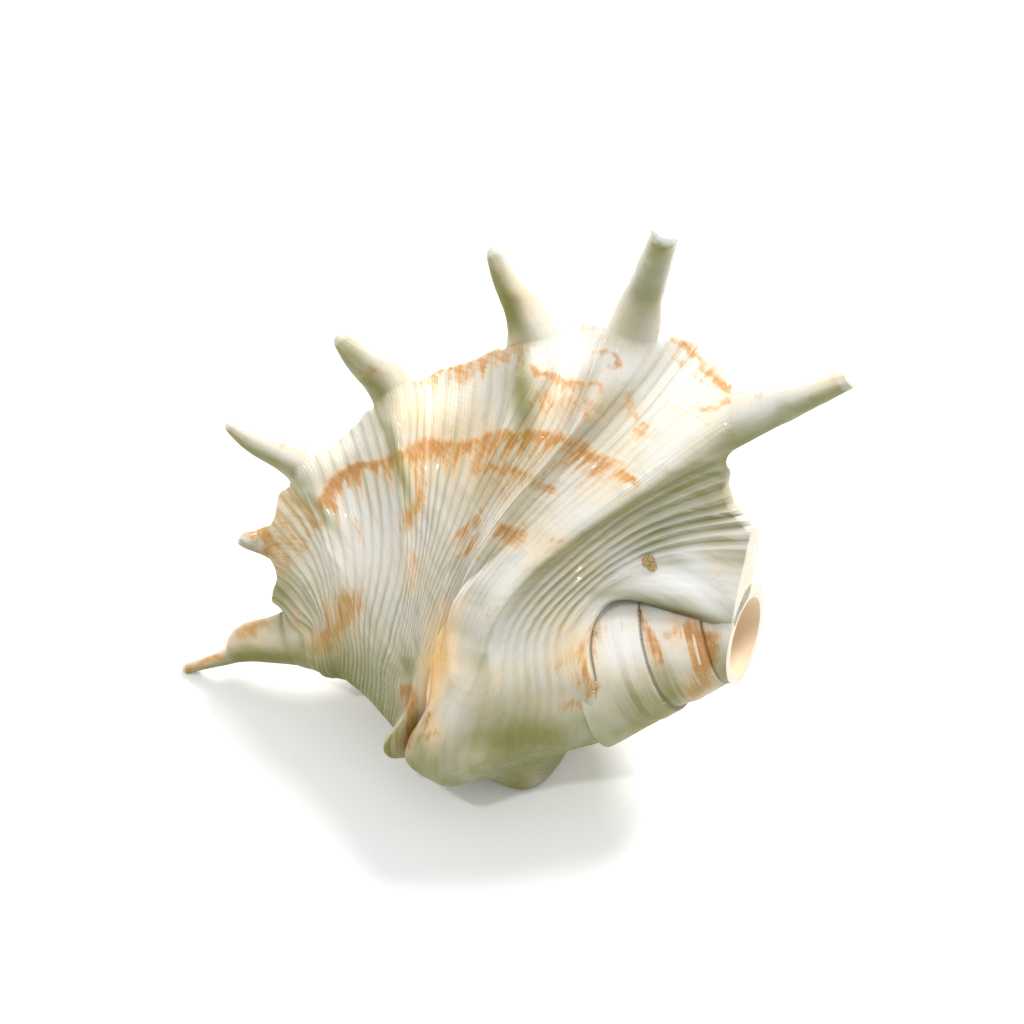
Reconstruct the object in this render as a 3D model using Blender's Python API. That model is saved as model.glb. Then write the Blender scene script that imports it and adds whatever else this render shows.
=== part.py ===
"""Giant spider conch shell with its spire sawn off, as one solid.

The shell is drawn in millimetres round its coiling axis: x runs from the canal to the spire,
y towards the lip and z towards the outside of the back. Lines run along the whorl from the
hollow out to the lip margin, and each line is a spline through a few control points. At the
end the shell is laid on the ground and its unit becomes the metre.
"""
import math

import bmesh
import bpy
import numpy as np
from mathutils import Matrix, Vector

# Driving dimensions, in millimetres and degrees
SPIRE_POINT_X = 156.0
SPIRE_SLOPE = 0.464
WHORL_GROWTH = 1.45
COIL_START = -460.0
COIL_STEP = 20.0
COIL_POINTS = 24
SAW_POINT = (125.0, 0.0, 0.0)
SAW_NORMAL = (0.95, -0.30, 0.07)
SAW_TOP_Y = 58.0
HOLE_RADIUS = 16.0
HOLE_DEPTH = 34.0
FOOT_WEAR = 0.8
METRES = 0.001

# The side turned to the viewer, and the three places that touch the ground, roughly
SHOWN_SIDE = (0.342, 0.0, 0.940)
REST_UP = (0.25, 0.67, 0.70)
FEET = ((-128.0, 0.0, -1.0), (20.0, -60.0, -25.0), (32.0, -15.0, -58.0))
FOOT_REACH = 16.0

# How finely the shell is drawn
LINES_PER_MM = 0.22
SKIN_CELL = 1.3
TARGET_TRIANGLES = 8200

# Places along a line: the hollow's blind end, the front of the coil and the lip margin
AT_BLIND_END = 18.0
AT_FRONT = 23.0
AT_MARGIN = 26.0

# Control sections from the canal to the spire. Front x, centre y, centre z, radius, share of
# the coil's slant, forward sweep below, extra radius below, wall, margin wall, core shrink,
# then three points on the wing: near, middle, margin
SECTIONS = {
    "tip": (-129, 1, 0, 3.2, 0, 0, 0, 1.0, 1.0, 0.52),
    "canal a": (-111, 4, 2, 5.2, 0, 0, 0, 1.5, 1.5, 0.45),
    "canal b": (-97, 8, 3, 8.5, 0.05, 0, 0, 2.2, 2.2, 0.3),
    "canal c": (-80, 11, 4, 12, 0.1, 0, 0, 2.8, 2.8, 0.2),
    "notch": (-62, 12, 2, 16, 0.2, 5, 2, 3.5, 3.0, 0.15, (-67, 17, 18), (-74, 23, 14), (-83, 28, 7)),
    "left": (-56, 15, 1, 22, 0.3, 8, 2, 4.0, 3.0, 0.12, (-61, 24, 22), (-68, 32, 18), (-78, 40, 12)),
    "finger 0": (-51, 17, 0, 27, 0.4, 9, 0, 4.5, 3.5, 0.12, (-56, 33, 29), (-65, 44, 27), (-79, 52, 20)),
    "margin 1": (-46, 17, 0, 30, 0.45, 12, -2, 5.0, 4.0, 0.12, (-46, 35, 33), (-53, 55, 33), (-69, 73, 24)),
    "finger 1": (-39, 15, 0, 33, 0.5, 15, -4, 5.0, 4.5, 0.12, (-37, 34, 37), (-40, 55, 38), (-52, 78, 36)),
    "margin 2": (-27, 10, 0, 38, 0.6, 20, -7, 5.5, 4.5, 0.12, (-21, 37, 43), (-20, 66, 44), (-33, 97, 28)),
    "finger 2": (-8, 1, 0, 43, 0.75, 28, -6.5, 5.5, 5.0, 0.12, (-1, 40, 47), (0, 73, 48), (-6, 105, 46)),
    "margin 3": (0, 0, 0, 45, 0.85, 31, -2, 5.5, 5.0, 0.12, (8, 45, 50), (15, 80, 50), (13, 118, 32)),
    "finger 3": (9, 1, 0, 47, 0.95, 33, 0, 6.0, 5.5, 0.12, (23, 46, 52), (48, 88, 54), (57, 118, 53)),
    "margin 4": (12, 0, 0, 48, 1, 34, 1, 6.0, 5.5, 0.12, (31, 48, 54), (63, 89, 55), (70, 132, 28)),
    "finger 4": (16, 0, 0, 49, 1, 34, 2, 6.0, 6.0, 0.12, (39, 49, 55), (77, 88, 55), (95, 117, 53)),
    "margin 5": (23, 0, 0, 50, 1, 33, 2, 6.5, 6.0, 0.12, (48, 43, 55), (92, 79, 51), (122, 116, 26)),
    "finger 5": (32, 0, 0, 51, 1, 30, 1, 7.0, 7.0, 0.12, (58, 36, 54), (98, 63, 50), (134, 82, 42)),
    "right 1": (44, 0, 0, 50, 1, 22, 0, 8.0, 8.0, 0.12, (66, 27, 48), (98, 48, 38), (127, 56, 30)),
    "right 2": (60, 0, 0, 46, 1, 15, 0, 9.0, 14.0, 0.12, (73, 20, 44), (100, 34, 34), (138, 34, 25)),
    "right 3": (72, 0, 0, 42, 1, 9, 0, 9.0, 16.0, 0.12, (80, 15, 39), (100, 12, 31), (138, -2, 20)),
}
SECTION_NUMBER = {name: float(number) for number, name in enumerate(SECTIONS)}

# Fingers: section, half widths to the left and right, reach of the web, middle, tip,
# radii at a third, two thirds and the tip, height and half widths of the ridge that leads in
FINGERS = (
    ("finger 0", 0.28, 0.28, 2, (-84.5, 54, 23), (-88.8, 56, 25), (4.6, 4.0, 2.6), 2.0, 0.3, 0.3),
    ("finger 1", 0.30, 0.32, 6, (-67, 91, 43), (-79.5, 103, 51), (6.4, 4.6, 2.2), 5.5, 0.17, 0.5),
    ("finger 2", 0.32, 0.36, 7, (-13, 119, 55), (-21.5, 132.8, 64.5), (8.0, 5.8, 2.6), 7.0, 0.15, 0.55),
    ("finger 3", 0.27, 0.36, 7, (54, 139, 63), (51.7, 159.8, 75.6), (7.1, 5.1, 2.9), 8.0, 0.14, 0.5),
    ("finger 4", 0.32, 0.32, 6, (109.5, 138, 63), (124, 158.5, 78.4), (7.7, 6.5, 5.4), 7.0, 0.3, 0.36),
    ("finger 5", 0.28, 0.30, 4, (160.5, 89, 47), (186, 97, 53), (7.2, 5.2, 4.0), 7.5, 0.5, 0.26),
)

# Knobs: section number, half width across lines, place along the line, reach back and
# forward along the line, height
KNOBS = (
    (SECTION_NUMBER["margin 5"] + 0.0, 1.1, 19.6, 1.0, 2.2, 6.0),
    (SECTION_NUMBER["margin 3"] - 0.15, 0.42, 20.1, 1.2, 1.9, 9.5),
    (SECTION_NUMBER["finger 5"] + 0.1, 0.75, 17.4, 0.95, 1.0, 17.5),
    (SECTION_NUMBER["margin 4"] - 0.1, 2.1, 14.6, 1.0, 1.0, 20.5),
    (SECTION_NUMBER["finger 5"] + 0.2, 0.9, 12.4, 0.9, 0.9, 7.0),
)

# Fold of the large front knob, from the back to the wing: place along the line, line of its
# furrow and height
FOLD = (
    (17.6, 12.4, 0.0),
    (18.6, 12.4, 4.0),
    (19.6, 12.3, 8.0),
    (20.5, 12.2, 8.5),
    (21.5, 11.7, 8.0),
    (22.25, 11.4, 7.0),
    (23.0, 11.9, 5.5),
    (23.4, 13.6, 4.0),
    (23.75, 14.5, 2.6),
    (24.25, 15.0, 1.2),
    (24.9, 15.0, 0.0),
    (25.5, 14.5, 0.0),
)

# Roll of the lobe's edge down to the spire, and of the whorl's edge at the suture: first line
# and depth
LOBE_ROLL = (18.4, 8.5)
SUTURE_ROLL = (18.72, 3.0)

# Distance of the suture from the spire's point, by the angle it has turned inwards
SUTURE_TURNS = (-90.0, 0.0, 90.0, 180.0, 270.0, 360.0, 540.0, 720.0, 1080.0, 1440.0)
SUTURE_LEFT = (92.2, 84.0, 76.55, 69.8, 66.2, 63.2, 52.5, 43.2, 29.5, 20.0)

# Cross rows of the spire along x
SPIRE_ROWS = (58, 66, 72, 77, 82, 87, 92, 96, 100, 104, 108, 112, 115, 118, 122, 142)


# Curves

def smooth_step(value):
    value = np.clip(value, 0.0, 1.0)
    return value * value * (3.0 - 2.0 * value)


def bump(value):
    return np.exp(-value * value)


def through_rows(table, rows):
    """Values at fractional rows of a table, on a curve through its rows."""
    last = len(table) - 1
    rows = np.clip(np.asarray(rows, float), 0.0, last - 1e-9)
    first = np.floor(rows).astype(int)
    t = (rows - first)[:, None]
    longer = np.vstack([2 * table[0] - table[1], table, 2 * table[-1] - table[-2]])
    p0, p1, p2, p3 = (longer[first + step] for step in range(4))
    linear = (p2 - p0) * t
    square = (2 * p0 - 5 * p1 + 4 * p2 - p3) * t**2
    cube = (3 * p1 - p0 - 3 * p2 + p3) * t**3
    return 0.5 * (2 * p1 + linear + square + cube)


def natural_splines(knots, points, places):
    """One natural cubic spline per row of points, read at the places of that row."""
    count, size = knots.shape
    step = np.diff(knots, axis=1)
    slope = np.diff(points, axis=1) / step[..., None]
    matrix = np.zeros((count, size, size))
    right = np.zeros((count, size, 3))
    matrix[:, 0, 0] = 1.0
    matrix[:, -1, -1] = 1.0
    for i in range(1, size - 1):
        matrix[:, i, i - 1] = step[:, i - 1]
        matrix[:, i, i] = 2.0 * (step[:, i - 1] + step[:, i])
        matrix[:, i, i + 1] = step[:, i]
        right[:, i] = 6.0 * (slope[:, i] - slope[:, i - 1])
    bend = np.linalg.solve(matrix, right)
    result = np.zeros((count, places.shape[1], 3))
    for row in range(count):
        i = np.clip(np.searchsorted(knots[row], places[row], side="right") - 1, 0, size - 2)
        h = step[row, i][:, None]
        after = (places[row] - knots[row, i])[:, None]
        before = h - after
        bend_a, bend_b = bend[row, i], bend[row, i + 1]
        point_a, point_b = points[row, i], points[row, i + 1]
        curve = (bend_a * before**3 + bend_b * after**3) / (6.0 * h)
        result[row] = curve + (point_a / h - bend_a * h / 6.0) * before
        result[row] += (point_b / h - bend_b * h / 6.0) * after
    return result


# Surface of the whorl

def section_table():
    """The control sections as rows of numbers, with the canal's wing points on its circle."""
    rows = []
    for values in SECTIONS.values():
        x, centre_y, centre_z, radius = values[:4]
        wing = values[10:]
        if not wing:
            angles = [math.radians(angle) for angle in (33, 66, 99)]
            wing = [(x, centre_y + radius * math.sin(a), centre_z + radius * math.cos(a)) for a in angles]
        rows.append(list(values[:10]) + [number for point in wing for number in point])
    return np.array(rows, float)


def margin_web(q):
    """How far the margin is drawn out into the webs of the fingers."""
    reach = np.zeros(len(q))
    for name, left, right, web, *_ in FINGERS:
        off = q - SECTION_NUMBER[name]
        beyond = np.maximum(0.0, np.where(off < 0, -off - left, off - right))
        reach += web * bump(beyond / 0.3)
    return reach


def base_surface(q, places):
    """Outside of the whorl without its relief, with the wall on the body and at the margin."""
    table = through_rows(section_table(), q)
    x, centre_y, centre_z, radius, slant, sweep, extra, wall, margin_wall, shrink = table[:, :10].T
    angle = COIL_START + COIL_STEP * np.arange(COIL_POINTS)
    growth = WHORL_GROWTH ** (angle / 360.0)
    below = smooth_step(-angle / 75.0) * smooth_step((angle + 170.0) / 75.0)
    core = smooth_step((-angle - 290.0) / 80.0)
    along = (SPIRE_POINT_X - x)[:, None] * (1.0 - growth) * slant[:, None] - sweep[:, None] * below
    out = radius[:, None] * growth * (1.0 - shrink[:, None] * core) + extra[:, None] * below
    sine, cosine = np.sin(np.radians(angle)), np.cos(np.radians(angle))
    across = centre_y[:, None] + out * sine
    coil = np.stack([x[:, None] + along, across, centre_z[:, None] + out * cosine], -1)
    near, middle, margin = table[:, 10:13], table[:, 13:16], table[:, 16:19]
    outward = margin - middle
    outward /= np.linalg.norm(outward, axis=1, keepdims=True)
    margin = margin + outward * margin_web(q)[:, None]
    controls = np.concatenate([coil, near[:, None], middle[:, None], margin[:, None]], axis=1)
    lengths = np.linalg.norm(np.diff(controls, axis=1), axis=-1)
    knots = np.concatenate([np.zeros((len(q), 1)), np.cumsum(lengths, axis=1)], axis=1)
    number = np.arange(knots.shape[1])
    where = np.stack([np.interp(places, number, row) for row in knots])
    return natural_splines(knots, controls, where), wall, margin_wall


def grid_normals(points):
    along = np.gradient(points, axis=1)
    across = np.gradient(points, axis=0)
    normal = np.cross(across, along)
    return normal / (np.linalg.norm(normal, axis=-1, keepdims=True) + 1e-9)


def fold_at(place):
    """Line of the furrow beside the large knob, and height of its fold, at some places."""
    rows = through_rows(np.array(FOLD), np.linspace(0.0, len(FOLD) - 1.0, 200))
    return np.interp(place, rows[:, 0], rows[:, 1]), np.interp(place, rows[:, 0], rows[:, 2])


def quarter_round(value):
    """Nought at nought, and falling off like a quarter circle towards one."""
    return 1.0 - np.sqrt(1.0 - 0.97 * np.clip(value, 0.0, 1.0) ** 2)


def relief(q, places):
    """Height of the ridges, knobs, fold and rolled edges over the base surface."""
    line, place = np.meshgrid(q, places, indexing="ij")
    height = np.zeros_like(line)
    for name, left, right, web, middle, tip, radii, ridge, ridge_left, ridge_right in FINGERS:
        off = line - SECTION_NUMBER[name]
        width = np.where(off < 0, ridge_left, ridge_right)
        height += ridge * bump(off / width) * smooth_step((place - 22.6) / 3.4)
    for centre, width, peak, back, forward, knob in KNOBS:
        reach = np.where(place < peak, back, forward)
        height += knob * bump((line - centre) / width) * bump((place - peak) / reach)
    furrow, fold = fold_at(place)
    beyond = (line - furrow) / np.where(line < furrow, 1.0, (17.5 - furrow) / 3.0)
    flank = (1.0 - quarter_round(1.0 - beyond / 0.4)) * (1.0 - smooth_step((beyond - 0.4) / 2.4))
    height += fold * np.where(beyond > 0.0, flank, 0.0)
    over_spire = smooth_step((place - 23.1) / 0.9)
    for (first, depth), share in ((LOBE_ROLL, over_spire), (SUTURE_ROLL, 1.0 - over_spire)):
        height -= depth * share * quarter_round((line - first) / (19.0 - first))
    return height


# Mesh of the whorl

class Draft:
    """Points and faces of a mesh in the making."""

    def __init__(self):
        self.points = []
        self.faces = []

    def add(self, points):
        start = len(self.points)
        self.points.extend(tuple(float(number) for number in point) for point in points)
        return list(range(start, len(self.points)))

    def take(self, other):
        start = len(self.points)
        self.points.extend(other.points)
        self.faces.extend(tuple(start + corner for corner in face) for face in other.faces)

    def strip(self, row, next_row):
        for i in range(len(row) - 1):
            corners = [row[i], next_row[i], next_row[i + 1], row[i + 1]]
            face = [corner for n, corner in enumerate(corners) if corner not in corners[:n]]
            if len(face) > 2:
                self.faces.append(tuple(face))

    def fan(self, loop, centre):
        for i, corner in enumerate(loop):
            self.faces.append((corner, loop[(i + 1) % len(loop)], centre))


def lines_to_draw():
    """Place of every line, and the first and last line of each finger."""
    margin = section_table()[:, 16:19]
    q = [0.0]
    fingers = []

    def extend(stop, least, density):
        path = through_rows(margin, np.linspace(q[-1], stop, 12))
        length = np.linalg.norm(np.diff(path, axis=0), axis=1).sum()
        count = max(least, round(length * density))
        start = q[-1]
        q.extend(start + (stop - start) * (i + 1) / count for i in range(count))

    for name, left, right, *_ in FINGERS:
        extend(SECTION_NUMBER[name] - left, 2, LINES_PER_MM)
        first = len(q) - 1
        extend(SECTION_NUMBER[name] + right, 6, LINES_PER_MM * 1.6)
        fingers.append((first, len(q) - 1))
    extend(float(len(SECTIONS) - 1), 3, LINES_PER_MM)
    return np.array(q), fingers


def finger_rings(draft, ring, width_count, rim_count, finger, outward, normal):
    """Draw one finger as rings of points that start on the ring of its root."""
    _, _, _, _, middle, tip, radii, *_ = finger
    points = np.array([draft.points[i] for i in ring])
    root = points.mean(axis=0)
    middle, tip = np.array(middle, float), np.array(tip, float)
    share = np.linalg.norm(middle - root)
    share /= share + np.linalg.norm(tip - middle)

    def through_points(t):
        at_root = (t - share) * (t - 1.0) / share
        at_middle = t * (t - 1.0) / (share * (share - 1.0))
        at_tip = t * (t - share) / (1.0 - share)
        return at_root * root + at_middle * middle + at_tip * tip

    start = (through_points(0.01) - root) / 0.01
    bend = 0.35 * (outward * np.linalg.norm(start) - start)

    def centre(t):
        return through_points(t) + bend * t * (1.0 - min(t, 1.0)) ** 2

    def direction(t):
        step = centre(t + 0.01) - centre(t - 0.01)
        return step / np.linalg.norm(step)

    ahead = direction(0.0)
    side = points[width_count] - points[0]
    side -= ahead * (side @ ahead)
    side /= np.linalg.norm(side)
    up = np.cross(ahead, side)
    turn = 1.0 if up @ normal > 0 else -1.0
    local = np.stack([(points - root) @ side, (points - root) @ (turn * up), (points - root) @ ahead], -1)
    radius = np.linalg.norm(local[:, :2], axis=1).mean()
    top = np.linspace(0.9, 0.1, width_count + 1)
    edge = np.linspace(0.1, -0.1, rim_count + 1)[1:-1]
    angles = math.pi * np.concatenate([top, edge, -top[::-1], edge - 1.0])
    widths = np.array([[radius], [radii[0]], [radii[1]], [radii[2]]])
    reach = np.linalg.norm(middle - root) + np.linalg.norm(tip - middle)
    fade = min(0.95, max(0.3, 2.0 * np.abs(local[:, 2]).max() / reach))
    stops = [0.1, 0.22, 0.36, 0.5, 0.64, 0.78, 0.9, 0.96, 1.0]
    previous = ring
    for t in stops:
        ahead = direction(t)
        side -= ahead * (side @ ahead)
        side /= np.linalg.norm(side)
        up = turn * np.cross(ahead, side)
        size = through_rows(widths, [3.0 * t])[0, 0]
        if t > 0.9:
            size *= math.sqrt(1.0 - ((t - 0.9) / 0.11) ** 2)
        blend = smooth_step(t / 0.45)
        across = local[:, 0] * size / radius * (1.0 - blend) + size * np.cos(angles) * blend
        upward = local[:, 1] * size / radius * (1.0 - blend) + size * np.sin(angles) * blend
        along = local[:, 2] * (1.0 - smooth_step(t / fade))
        place = centre(t) + across[:, None] * side + upward[:, None] * up + along[:, None] * ahead
        current = draft.add(place)
        draft.strip(previous + previous[:1], current + current[:1])
        previous = current
    draft.fan(previous, draft.add([centre(1.0) + ahead * 0.3])[0])


def end_cap(draft, outer, inner, rim, blind, outer_places, inner_places):
    """Close the whorl across its first or last line: the wall as a strip, the core as a fan."""
    wall = [i for i, place in enumerate(outer_places) if place >= AT_BLIND_END - 1e-6]
    outside = [outer[i] for i in wall]
    outside_at = [outer_places[i] for i in wall]
    inside, inside_at = inner[::-1], inner_places[::-1]
    a = b = 0
    while a < len(outside) - 1 or b < len(inside) - 1:
        inside_done = b == len(inside) - 1
        if inside_done or (a < len(outside) - 1 and outside_at[a + 1] <= inside_at[b + 1]):
            draft.faces.append((outside[a], outside[a + 1], inside[b]))
            a += 1
        else:
            draft.faces.append((outside[a], inside[b + 1], inside[b]))
            b += 1
    for i in range(1, len(rim) - 1):
        draft.faces.append((rim[0], rim[i], rim[i + 1]))
    loop = outer[:wall[0] + 1] + [inner[-1]] + blind[1:-1]
    core = np.array([draft.points[i] for i in loop]).mean(axis=0)
    draft.fan(loop, draft.add([core])[0])


def draw_whorl():
    """The whorl with its hollow, wing and fingers as one closed mesh."""
    q, fingers = lines_to_draw()
    outer_places = np.concatenate([
        np.linspace(0.0, 9.0, 7, endpoint=False),
        np.linspace(9.0, AT_FRONT, 20, endpoint=False),
        np.linspace(AT_FRONT, AT_MARGIN, 10),
    ])
    inner_places = np.concatenate([
        np.linspace(AT_MARGIN, AT_FRONT, 7, endpoint=False),
        np.linspace(AT_FRONT, AT_BLIND_END, 6),
    ])
    rim_count = 3
    base, wall, margin_wall = base_surface(q, outer_places)
    outward = grid_normals(base)
    outer = base + outward * relief(q, outer_places)[..., None]
    under, _, _ = base_surface(q, inner_places)
    inward = grid_normals(under)
    to_margin = smooth_step((inner_places - AT_FRONT) / (AT_MARGIN - AT_FRONT))
    thickness = wall[:, None] * (1.0 - to_margin) + margin_wall[:, None] * to_margin
    inner = under + inward * thickness[..., None]

    draft = Draft()
    outer_rows = [draft.add(row) for row in outer]
    inner_rows = [draft.add(row) for row in inner]
    edge = outer[:, -1] - outer[:, -2]
    edge /= np.linalg.norm(edge, axis=1, keepdims=True)
    count = len(q)
    inside_finger = np.zeros(count, bool)
    for first, last in fingers:
        inside_finger[first + 1:last] = True

    rims = []
    for j in range(count):
        if inside_finger[j]:
            rims.append(None)
            continue
        middle = (outer[j, -1] + inner[j, 0]) / 2.0
        half = (outer[j, -1] - inner[j, 0]) / 2.0
        bulge = edge[j] * np.linalg.norm(half)
        turns = [math.pi * i / rim_count for i in range(1, rim_count)]
        points = [middle + half * math.cos(turn) + bulge * math.sin(turn) for turn in turns]
        rims.append([outer_rows[j][-1]] + draft.add(points) + [inner_rows[j][0]])

    blinds = []
    for j in range(count):
        start, stop = inner[j, -1], outer[j, 0]
        deeper = inner[j, -1] - inner[j, -2]
        deeper *= 0.3 * np.linalg.norm(stop - start) / (np.linalg.norm(deeper) + 1e-9)
        points = [start + (stop - start) * t + deeper * math.sin(math.pi * t) for t in (0.33, 0.67)]
        blinds.append([inner_rows[j][-1]] + draft.add(points) + [outer_rows[j][0]])

    for j in range(count - 1):
        draft.strip(outer_rows[j], outer_rows[j + 1])
        draft.strip(inner_rows[j], inner_rows[j + 1])
        draft.strip(blinds[j], blinds[j + 1])
        if not any(first <= j < last for first, last in fingers):
            draft.strip(rims[j], rims[j + 1])

    for (first, last), finger in zip(fingers, FINGERS):
        lines = list(range(first, last + 1))
        ring = [outer_rows[j][-1] for j in lines] + rims[last][1:-1]
        ring += [inner_rows[j][0] for j in reversed(lines)] + rims[first][-2:0:-1]
        middle = (first + last) // 2
        finger_rings(draft, ring, last - first, rim_count, finger, edge[middle], outward[middle, -1])

    for j in (0, count - 1):
        end_cap(draft, outer_rows[j], inner_rows[j], rims[j], blinds[j], outer_places, inner_places)
    return draft


# Spire

def spire_radius(x, angle):
    """Radius of the spire, with a low step where one whorl laps over the next."""
    left = np.maximum(SPIRE_POINT_X - x, 1.0)
    phase = np.ones(left.shape)
    for turn in range(-1, 4):
        start = np.interp(360.0 * turn - angle, SUTURE_TURNS, SUTURE_LEFT)
        stop = np.interp(360.0 * turn + 360.0 - angle, SUTURE_TURNS, SUTURE_LEFT)
        share = np.log(start / left) / (np.log(start / stop) + 1e-9)
        phase = np.where((share >= 0.0) & (share < 1.0), share, phase)
    step = -0.035 + 0.055 * smooth_step(phase / 0.4)
    plain = SPIRE_SLOPE * left * (1.0 + step)
    collar = 18.4 + 1.8 * smooth_step((x - 115.0) / 6.0)
    return np.where(x > 112.0, np.maximum(plain, collar), plain)


def draw_spire():
    """The spire as a round solid that starts inside the body whorl."""
    draft = Draft()
    sides = 40
    angles = np.linspace(-360.0, 0.0, sides, endpoint=False)
    rows = []
    for x in SPIRE_ROWS:
        radius = spire_radius(np.full(sides, x), angles)
        if x < 60.0:
            radius = radius * 0.6
        turn = np.radians(angles)
        points = np.stack([np.full(sides, x), radius * np.sin(turn), radius * np.cos(turn)], -1)
        rows.append(draft.add(points))
    for row, next_row in zip(rows, rows[1:]):
        draft.strip(row + row[:1], next_row + next_row[:1])
    draft.fan(rows[0], draft.add([(SPIRE_ROWS[0], 0.0, 0.0)])[0])
    draft.fan(rows[-1], draft.add([(SPIRE_ROWS[-1], 0.0, 0.0)])[0])
    return draft


def draw_hole():
    """The hollow that the sawn spire lays open, tapering and turning as it goes in."""
    draft = Draft()
    sides = 32
    rows = []
    for t in (-0.6, 0.0, 0.15, 0.35, 0.55, 0.75, 0.9, 1.0):
        deep = max(t, 0.0)
        radius = HOLE_RADIUS * (1.0 + 0.08 * min(t, 0.0) - 0.45 * deep)
        if deep > 0.8:
            radius *= math.sqrt(max(0.04, 1.0 - ((deep - 0.8) / 0.2) ** 2))
        bend = 6.0 * deep * deep
        x = SAW_POINT[0] - HOLE_DEPTH * t
        points = []
        for i in range(sides):
            turn = 2.0 * math.pi * i / sides
            points.append((x, bend + radius * math.sin(turn), -0.5 * bend + radius * math.cos(turn)))
        rows.append(draft.add(points))
    for row, next_row in zip(rows, rows[1:]):
        draft.strip(row + row[:1], next_row + next_row[:1])
    for row in (rows[0], rows[-1]):
        centre = np.array([draft.points[i] for i in row]).mean(axis=0)
        draft.fan(row, draft.add([centre])[0])
    return draft


# Blender objects

def clear_scene():
    for item in list(bpy.data.objects):
        bpy.data.objects.remove(item, do_unlink=True)


def make_object(name, draft):
    mesh = bpy.data.meshes.new(name)
    mesh.from_pydata(draft.points, [], draft.faces)
    shape = bmesh.new()
    shape.from_mesh(mesh)
    bmesh.ops.recalc_face_normals(shape, faces=shape.faces)
    shape.to_mesh(mesh)
    shape.free()
    item = bpy.data.objects.new(name, mesh)
    bpy.context.scene.collection.objects.link(item)
    return item


def bake(item):
    """Replace the mesh of an object by its shape with modifiers."""
    graph = bpy.context.evaluated_depsgraph_get()
    mesh = bpy.data.meshes.new_from_object(item.evaluated_get(graph), depsgraph=graph)
    item.modifiers.clear()
    item.data = mesh


def thin_out(item, triangles):
    """Leave fewer triangles, most of them where the surface bends."""
    graph = bpy.context.evaluated_depsgraph_get()
    mesh = item.evaluated_get(graph).to_mesh()
    now = sum(len(face.vertices) - 2 for face in mesh.polygons)
    if now > triangles:
        modifier = item.modifiers.new("thin out", "DECIMATE")
        modifier.ratio = triangles / now
        bake(item)


def grow_together(item):
    """One skin round everything that overlaps, without the bits cut off from it."""
    modifier = item.modifiers.new("skin", "REMESH")
    modifier.mode = "VOXEL"
    modifier.voxel_size = SKIN_CELL
    bake(item)
    shape = bmesh.new()
    shape.from_mesh(item.data)
    unseen = set(shape.verts)
    islands = []
    while unseen:
        island = set()
        front = [next(iter(unseen))]
        unseen.discard(front[0])
        while front:
            point = front.pop()
            island.add(point)
            for edge in point.link_edges:
                other = edge.other_vert(point)
                if other in unseen:
                    unseen.discard(other)
                    front.append(other)
        islands.append(island)
    largest = max(islands, key=len)
    spare = [point for island in islands if island is not largest for point in island]
    bmesh.ops.delete(shape, geom=spare, context="VERTS")
    shape.to_mesh(item.data)
    shape.free()


def combine(item, other, operation):
    modifier = item.modifiers.new(operation.lower(), "BOOLEAN")
    modifier.operation = operation
    modifier.solver = "EXACT"
    modifier.object = other
    bake(item)
    bpy.data.objects.remove(other, do_unlink=True)


def box_draft(corners):
    draft = Draft()
    draft.add(corners)
    draft.faces = [(0, 1, 2, 3), (7, 6, 5, 4), (0, 4, 5, 1), (1, 5, 6, 2), (2, 6, 7, 3), (3, 7, 4, 0)]
    return draft


def saw_draft():
    """Block outside the saw plane, from below the spire up to the shoulder of the last finger."""
    normal = np.array(SAW_NORMAL)
    normal /= np.linalg.norm(normal)
    side = np.cross(normal, (0.0, 1.0, 0.0))
    side /= np.linalg.norm(side)
    up = np.cross(side, normal)
    start = np.array(SAW_POINT)
    high = SAW_TOP_Y / up[1]
    near = [start + side * a + up * b for a, b in ((-60, -60), (60, -60), (60, high), (-60, high))]
    return box_draft(near + [corner + normal * 60.0 for corner in near])


def build_shell():
    draft = draw_whorl()
    draft.take(draw_spire())
    shell = make_object("shell", draft)
    grow_together(shell)
    thin_out(shell, TARGET_TRIANGLES)
    combine(shell, make_object("saw", saw_draft()), "DIFFERENCE")
    combine(shell, make_object("hole", draw_hole()), "DIFFERENCE")
    return shell


def foot_points(item, up):
    """Lowest point of the shell near each foot."""
    points = np.array([vertex.co[:] for vertex in item.data.vertices])
    lowest = []
    for foot in FEET:
        near = points[np.linalg.norm(points - np.array(foot), axis=1) < FOOT_REACH]
        lowest.append(near[np.argmin(near @ up)])
    return lowest


def upright(item):
    """Direction that points up once all three feet touch the ground."""
    up = np.array(REST_UP) / np.linalg.norm(REST_UP)
    for _ in range(8):
        a, b, c = foot_points(item, up)
        normal = np.cross(b - a, c - a)
        normal /= np.linalg.norm(normal)
        up = normal if normal @ up > 0 else -normal
    return up


def lay_down(item):
    """Turn the shell on to its feet, wear them flat, and set origin and unit."""
    up = upright(item)
    shown = np.array(SHOWN_SIDE)
    front = shown - up * (shown @ up)
    front /= np.linalg.norm(front)
    right = np.cross(-front, up)
    turn = Matrix([list(right), list(-front), list(up)]).to_4x4()
    item.data.transform(turn)
    low = min(vertex.co.z for vertex in item.data.vertices)
    item.data.transform(Matrix.Translation((0.0, 0.0, -low - FOOT_WEAR)))
    corners = [(x, y, z) for z in (-20.0, 0.0) for x, y in ((-400, -400), (400, -400), (400, 400), (-400, 400))]
    combine(item, make_object("ground", box_draft(corners)), "DIFFERENCE")
    points = np.array([vertex.co[:] for vertex in item.data.vertices])
    middle = (points.min(axis=0) + points.max(axis=0)) / 2.0
    item.data.transform(Matrix.Translation((-middle[0], -middle[1], 0.0)))
    item.data.transform(Matrix.Scale(METRES, 4))


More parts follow.
